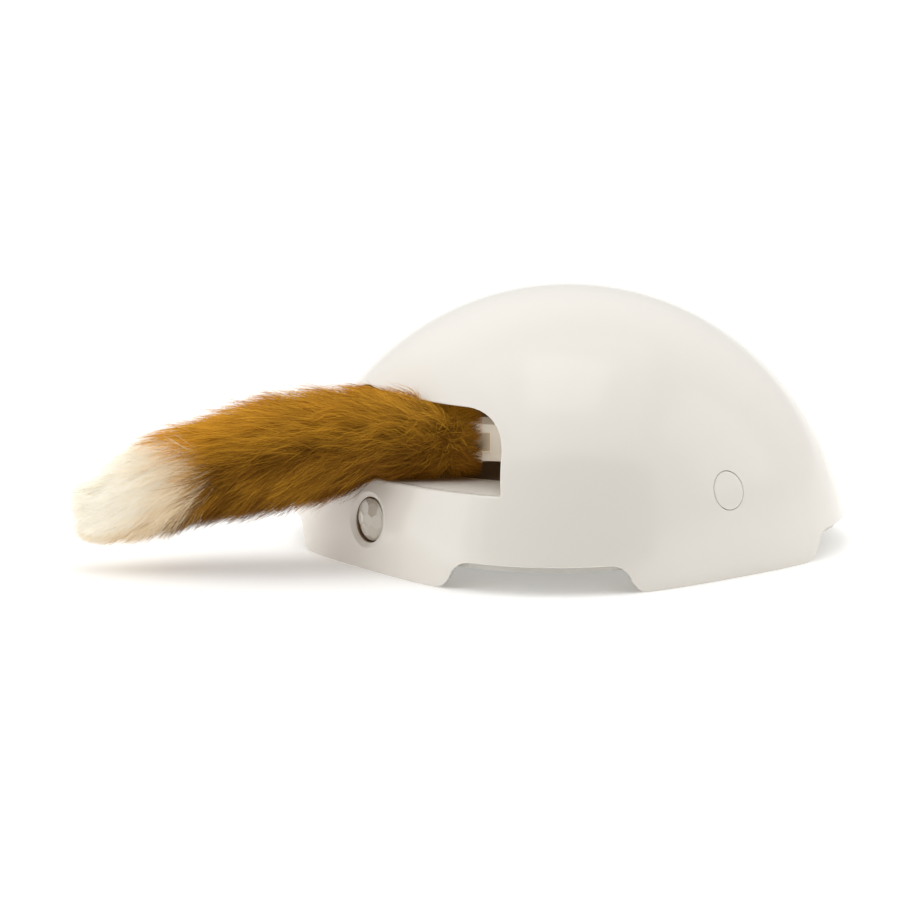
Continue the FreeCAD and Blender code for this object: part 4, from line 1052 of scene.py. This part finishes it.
def ribbon_mesh(name, fur, chosen, colours):
    curve = fur["curve"][chosen]
    count = len(curve)
    tangent = np.gradient(curve, axis=1)
    tangent /= np.maximum(np.linalg.norm(tangent, axis=-1, keepdims=True), 1e-9)
    across = np.cross(tangent, fur["way"][chosen][:, None])
    across /= np.maximum(np.linalg.norm(across, axis=-1, keepdims=True), 1e-9)
    lift = np.cross(across, tangent)
    turn = fur["chance"].normal(0, 0.6, count)[:, None, None]
    side = across * np.cos(turn) + lift * np.sin(turn)
    taper = (1.0 - 0.85 * np.linspace(0, 1, HAIR_STEPS) ** 1.3)[None, :, None]
    width = HAIR_WIDTH * fur["chance"].uniform(0.6, 1.25, count)[:, None, None] * taper
    points = np.stack([curve - side * width / 2, curve + side * width / 2], 2).reshape(-1, 3)
    base = np.arange(count)[:, None] * HAIR_STEPS * 2 + np.arange(HAIR_STEPS - 1)[None, :] * 2
    quads = np.stack([base, base + 1, base + 3, base + 2], -1).reshape(-1, 4)
    mesh = bpy.data.meshes.new(name)
    mesh.vertices.add(len(points))
    mesh.vertices.foreach_set("co", points.astype(np.float32).ravel())
    mesh.loops.add(quads.size)
    mesh.loops.foreach_set("vertex_index", quads.ravel().astype(np.int32))
    mesh.polygons.add(len(quads))
    mesh.polygons.foreach_set("loop_start", np.arange(0, quads.size, 4, dtype=np.int32))
    mesh.polygons.foreach_set("use_smooth", np.ones(len(quads), bool))
    tint = mesh.color_attributes.new("tint", "FLOAT_COLOR", "POINT")
    each = np.repeat(colours[chosen], 2, axis=1).reshape(-1, 4)
    tint.data.foreach_set("color", each.astype(np.float32).ravel())
    mesh.update(calc_edges=True)
    mesh.validate()
    mesh.normals_split_custom_set_from_vertices(pile_normals(fur, chosen, tangent, side))
    obj = bpy.data.objects.new(name, mesh)
    bpy.context.collection.objects.link(obj)
    return obj


def pile_normals(fur, chosen, tangent, side):
    """Normals that lean from the ribbon's own towards the pile's outward way: soft, even shading."""
    own = np.cross(tangent, side)
    outward = fur["end_way"][chosen][:, None] + 0.0 * own
    own *= np.sign(np.sum(own * outward, -1, keepdims=True) + 1e-9)
    lean = 0.35 * own + 0.65 * outward
    lean -= tangent * np.sum(lean * tangent, -1, keepdims=True) * 0.6
    lean /= np.maximum(np.linalg.norm(lean, axis=-1, keepdims=True), 1e-9)
    return np.repeat(lean, 2, axis=1).reshape(-1, 3).astype(np.float32)


def fur_colours(fur):
    chance, end_u = fur["chance"], fur["end_u"]
    dark = np.array(srgb(122, 77, 16))
    gold = np.array(srgb(234, 172, 52))
    tan = np.array(srgb(230, 206, 164))
    cream = np.array(srgb(255, 251, 240))
    lock_tone = chance.uniform(0, 1, fur["locks"])[fur["lock"]]
    tone = 0.35 * lock_tone + 0.65 * chance.uniform(0, 1, fur["count"]) ** 1.3
    # painted top light makes the upper side gold; painted shade darkens the parting, the folds under the tail over the
    # lip, and the root
    height = np.cos(fur["angle"])
    parting = np.exp(-((fur["end_angle"] - 1.62) / 0.30) ** 2)
    parting *= np.clip((end_u - 55.0) / 25.0, 0, 1) * np.clip((124.0 - end_u) / 10.0, 0, 1)
    near_root = np.clip((45.0 - end_u) / 45.0, 0, 1)
    under = np.clip(0.45 - np.cos(fur["end_angle"]), 0, 1) * np.exp(-((end_u - 44.0) / 18.0) ** 2)
    painted_top_light = height * (1.0 + np.clip((end_u - 85.0) / 30.0, 0, 1))
    tone = tone + 0.34 * painted_top_light - 0.45 * parting - 0.38 * near_root - 0.48 * under
    tone = np.clip(tone, 0, 1)[:, None]
    brown = dark * (1 - tone) + gold * tone
    border = PALE_AT_SIDE + np.where(height > 0, (PALE_AT_TOP - PALE_AT_SIDE) * height ** 2,
                                     (PALE_AT_BELOW - PALE_AT_SIDE) * height ** 2)
    beyond = fur["root_u"] - border + chance.normal(0, 1.2, fur["count"])
    share = np.clip(beyond / 5.0 + 0.5, 0, 1)
    share = (share ** 2 * (3 - 2 * share))[:, None]
    # the cream grows towards the tip; the upper side is painted paler as painted top light, and the lower side stays
    # tan as painted shade
    cream_share_and_top_light = np.clip(beyond / 36.0 + 0.40 * height + 0.16, 0, 1)[:, None]
    body = brown * (1 - share) + (tan * (1 - cream_share_and_top_light) + cream * cream_share_and_top_light) * share
    along = np.linspace(0, 1, HAIR_STEPS)[None, :, None]
    depth = np.clip((fur["full"] - 0.5) / 0.5, 0, 1)[:, None, None]
    # painted shade: hairs darken towards their roots and where the pile is less full, for the shade deep in the pile
    shade = (0.42 + 0.58 * along ** 0.8) * (0.66 + 0.34 * depth) * (1 - share[:, None])
    shade = shade + (0.93 + 0.07 * along) * share[:, None]
    colours = body[:, None, :] * shade
    colours[..., 3] = 1.0
    return colours


fur = grow_fur(7)
colours = fur_colours(fur)
furs = []
for k in range(5):
    chosen = (fur["root_u"] >= FUR_CUTS[k]) & (fur["root_u"] < FUR_CUTS[k + 1])
    made = ribbon_mesh("tail_fur_%d" % k, fur, chosen, colours)
    attach(made, k)
    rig.slot(made, "fur_cream" if k == 4 else "fur_brown")
    furs.append(made)
    print(made.name, len(made.data.polygons), "faces")

# %% [markdown]
# Finishes. The dome is a warm white, glossy moulding with a gloss that wanders a little.
# The den floor and the arm are satin with a fine grain; the arm has a faint painted glow. The turntable
# is dark. The inside of the dome is painted dark brown as painted shade, with a faint painted glow.

# %% Finishes
def plastic(name, colour, rough, grain=0.0, coat=0.0):
    made = Finish(name, Base_Color=colour, Roughness=rough, IOR=1.5)
    if coat:
        made.shader.inputs["Coat Weight"].default_value = coat
        made.shader.inputs["Coat Roughness"].default_value = 0.03
    cloud = made.noise(35.0, 2.0)
    made.feed(Roughness=(cloud * 0.06 + (rough - 0.03)).clamp())
    if grain:
        made.feed(Normal=made.bump(made.noise(2500.0, 2.0), grain * MM, 0.6))
    return made


def dress(obj, finish):
    obj.data.materials.clear()
    obj.data.materials.append(finish.material)


FUR_GLOW = 0.15
BAND_START = 72.0


def fur_finish():
    """Light wanders from hair to hair; a little glow of the hair's own colour stands for it."""
    made = Finish("plush", Roughness=0.7, IOR=1.45)
    made.shader.inputs["Specular IOR Level"].default_value = 0.12
    tint = made.node("ShaderNodeAttribute", {"attribute_name": "tint"}, {})
    made.feed(Base_Color=tint, Emission_Color=tint)
    made.shader.inputs["Emission Strength"].default_value = FUR_GLOW
    return made


def backing_finish():
    """Woven backing seen between the hairs: brown, turning pale near the tip."""
    made = Finish("plush_backing", Roughness=0.9)
    place = made.node("ShaderNodeSeparateXYZ", {}, {0: made.place()}, 1)
    share = ((place * -1.0 - 0.156) * 80.0).clamp()
    made.feed(Base_Color=made.mix(share, srgb(112, 68, 12), srgb(252, 246, 230)))
    return made


shell = plastic("dome_gloss", srgb(235, 231, 224), 0.17, 0.0, 0.3)
shell.shader.inputs["Specular IOR Level"].default_value = 0.4
satin = plastic("den_satin", srgb(246, 241, 232), 0.38, 0.02)
# painted shade: the inside of the dome is dark brown for the shade in the den, and its faint emission is a painted
# glow
inner = plastic("dome_inside_painted_shade", srgb(112, 88, 60), 0.6)
inner.shader.inputs["Emission Color"].default_value = srgb(60, 44, 27)
inner.shader.inputs["Emission Strength"].default_value = 1.0
arm_satin_painted_glow = plastic("arm_satin_painted_glow", srgb(236, 228, 214), 0.38, 0.02)
# painted glow: the arm and its cap shine a little of their own, for the light that reaches them in the den
arm_satin_painted_glow.shader.inputs["Emission Color"].default_value = srgb(236, 222, 200)
arm_satin_painted_glow.shader.inputs["Emission Strength"].default_value = 0.24
plug_satin = plastic("plug_satin", srgb(226, 216, 200), 0.5, 0.02)
disc_finish = plastic("disc_dark", srgb(92, 70, 46), 0.5, 0.02)
grey_base = plastic("base_grey", srgb(214, 212, 206), 0.5, 0.03)
milk = plastic("window_milk", srgb(206, 200, 188), 0.09, 0.0, 0.8)


def metal(name, colour, rough):
    """Bare metal, its shine broken by fine handling marks."""
    made = Finish(name, Base_Color=colour, Metallic=1.0)
    made.feed(Roughness=(made.noise(90.0, 4.0) * 0.16 + (rough - 0.08)).clamp())
    made.feed(Normal=made.bump(made.noise(1400.0, 2.0), 0.01 * MM, 0.5))
    return made


def board_finish():
    """Green lacquer over copper tracks, seen as faint raised lines."""
    made = Finish("board_green", Roughness=0.35, IOR=1.5)
    tracks = made.node("ShaderNodeTexBrick", {}, {"Vector": made.place(), "Scale": 240.0,
                                                  "Mortar Size": 0.03}, 1)
    made.feed(Base_Color=made.mix(tracks, srgb(24, 84, 50), srgb(52, 120, 74)))
    made.feed(Normal=made.bump(tracks, 0.03 * MM, 0.5))
    return made


def cell_finish():
    """Plain two-tone sleeve of a dry cell, slate with a bronze band at one end."""
    made = Finish("cell_sleeve", Roughness=0.3, Metallic=0.55)
    along = made.node("ShaderNodeSeparateXYZ", {}, {0: made.place()}, 1)
    band = ((along * 1000.0 - BAND_START) * 3.0).clamp()
    made.feed(Base_Color=made.mix(band, srgb(46, 50, 58), srgb(176, 112, 58)))
    return made


steel = metal("steel", srgb(196, 196, 194), 0.3)
nickel = metal("nickel_sheet", srgb(208, 204, 196), 0.24)
brass = metal("brass", srgb(205, 172, 100), 0.28)
acetal = plastic("gear_white", srgb(226, 222, 210), 0.42, 0.01)
case_grey = plastic("case_grey", srgb(96, 98, 102), 0.48, 0.03)
black = plastic("moulded_black", srgb(30, 30, 32), 0.42, 0.02)
board = board_finish()
cell = cell_finish()
plush = fur_finish()
backing = backing_finish()

dress(dome, shell)
dome.data.materials.append(inner.material)
dress(button, shell)
dress(lens, milk)
dress(arm, arm_satin_painted_glow)
dress(cap, arm_satin_painted_glow)
for obj in cores:
    dress(obj, backing)
for obj in furs:
    dress(obj, plush)
NODE_FINISH = {
    "den_floor": satin, "tail_plug": plug_satin, "sensor_holder": satin, "base_cover": grey_base,
    "battery_door": grey_base, "turntable_disc": disc_finish, "base_screws": steel, "door_pin": steel,
    "tail_pin": steel, "arm_screws": steel, "motor_screws": steel, "spindle": steel,
    "motion_sensor": nickel, "battery_contacts": nickel, "motor": nickel, "spindle_bush": brass,
    "output_gear": acetal, "drive_pinion": acetal, "gear_motor_case": case_grey,
    "board_parts": black, "tact_switch": black, "main_board": board, "button_board": board,
    "sensor_board": board, "batteries": cell,
}
for name, finish in NODE_FINISH.items():
    dress(frame["nodes"][name], finish)


def paint_shade_inside():
    """Faces of the dome that look inwards take the inner finish: dark brown painted shade with a faint painted glow.
    """
    for face in dome.data.polygons:
        centre = face.center
        radius = math.hypot(centre.x, centre.y)
        azimuth = math.atan2(centre.x, -centre.y)
        if centre.z < DOME_HEIGHT - WALL - 1e-5:
            skin = float(skin_radius(azimuth, centre.z))
            depth = skin - radius
            if depth > 2.0 * MM:
                face.material_index = 1
        if face.normal.z < -0.9 and centre.z > 0.09:
            face.material_index = 1


paint_shade_inside()
print("finishes:", len(bpy.data.materials))

# %% [markdown]
# The studio is a tent of white cloth over a white table that glows a little, so that nothing throws
# a hard shadow. The cloth is dimmer in a band above the table. Soft lamps add the highlights: two
# overhead, a panel on the right and one before the den's face. A wide dark flag stands behind the
# camera: the dome mirrors it as the darker patch that makes gloss read as gloss.

# %% Floor and light
def add_plane(name, place, size, turn, finish):
    mesh = bpy.data.meshes.new(name)
    x, y = size[0] / 2, size[1] / 2
    mesh.from_pydata([(-x, -y, 0), (x, -y, 0), (x, y, 0), (-x, y, 0)], [], [(0, 1, 2, 3)])
    obj = bpy.data.objects.new(name, mesh)
    bpy.context.collection.objects.link(obj)
    obj.location = place
    obj.rotation_euler = turn
    mesh.materials.append(finish.material)
    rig.stage(obj)
    return obj


def add_area(name, place, aim, size, power):
    data = bpy.data.lights.new(name, "AREA")
    data.shape = "RECTANGLE"
    data.size, data.size_y = size
    data.energy = power
    lamp = bpy.data.objects.new(name, data)
    bpy.context.collection.objects.link(lamp)
    place = Vector(place)
    turn = (Vector(aim) - place).to_track_quat("-Z", "Y").to_matrix().to_4x4()
    lamp.matrix_world = Matrix.Translation(place) @ turn


def add_world(strength, low):
    """Tent light: a bright strip at the horizon, a dimmer band over it, and bright again above."""
    world = bpy.data.worlds.new("studio")
    world.use_nodes = True
    tree = world.node_tree
    place = tree.nodes.new("ShaderNodeTexCoord")
    split = tree.nodes.new("ShaderNodeSeparateXYZ")
    ramp = tree.nodes.new("ShaderNodeValToRGB")
    ramp.color_ramp.interpolation = "EASE"
    levels = ((0.0, 1.0), (0.075, 1.0), (0.14, low), (0.80, 1.0))
    stops = ramp.color_ramp.elements
    while len(stops) < len(levels):
        stops.new(0.5)
    for stop, (position, level) in zip(stops, levels):
        stop.position = position
        stop.color = (level, 0.995 * level, 0.98 * level, 1.0)
    tree.links.new(place.outputs["Generated"], split.inputs[0])
    tree.links.new(split.outputs[2], ramp.inputs[0])
    tree.links.new(ramp.outputs[0], tree.nodes["Background"].inputs[0])
    tree.nodes["Background"].inputs[1].default_value = strength
    bpy.context.scene.world = world


paper = Finish("studio_paper", Base_Color=(0.93, 0.93, 0.925, 1.0), Roughness=0.9)
paper.shader.inputs["Emission Color"].default_value = (1.0, 0.99, 0.975, 1.0)
paper.shader.inputs["Emission Strength"].default_value = 0.22
add_plane("studio_floor", (0, 0, 0), (12.0, 12.0), (0, 0, 0), paper)
add_world(1.08, 0.66)
add_area("overhead", (0.1, -0.05, 1.7), (0, 0, 0), (1.8, 1.8), 4.0)
add_area("overhead_core", (0.05, -0.05, 1.5), (0, 0, 0), (0.75, 0.75), 1.7)
add_area("right_panel", (1.11, 1.23, 1.05), (0, 0, 0.06), (1.0, 1.3), 2.4)
add_area("front_panel", (-1.0, -1.55, 0.6), (0, 0, 0.05), (1.8, 1.4), 8.0)
flag = Finish("studio_flag", Base_Color=(0.10, 0.08, 0.06, 1.0), Roughness=0.9)
flag_turn = (math.pi / 2, 0, math.radians(49.4))
dark_flag = add_plane("dark_flag", (1.80, -0.97, 1.40), (5.0, 2.7), flag_turn, flag)
dark_flag.visible_camera = False
bpy.context.scene.view_settings.view_transform = "Standard"
print("lamps:", len(bpy.data.lights))

# %% Measure and finish
json.dump([[list(corner) for corner in cad_box], [list(corner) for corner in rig.bounds()]],
          open("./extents.json", "w"))
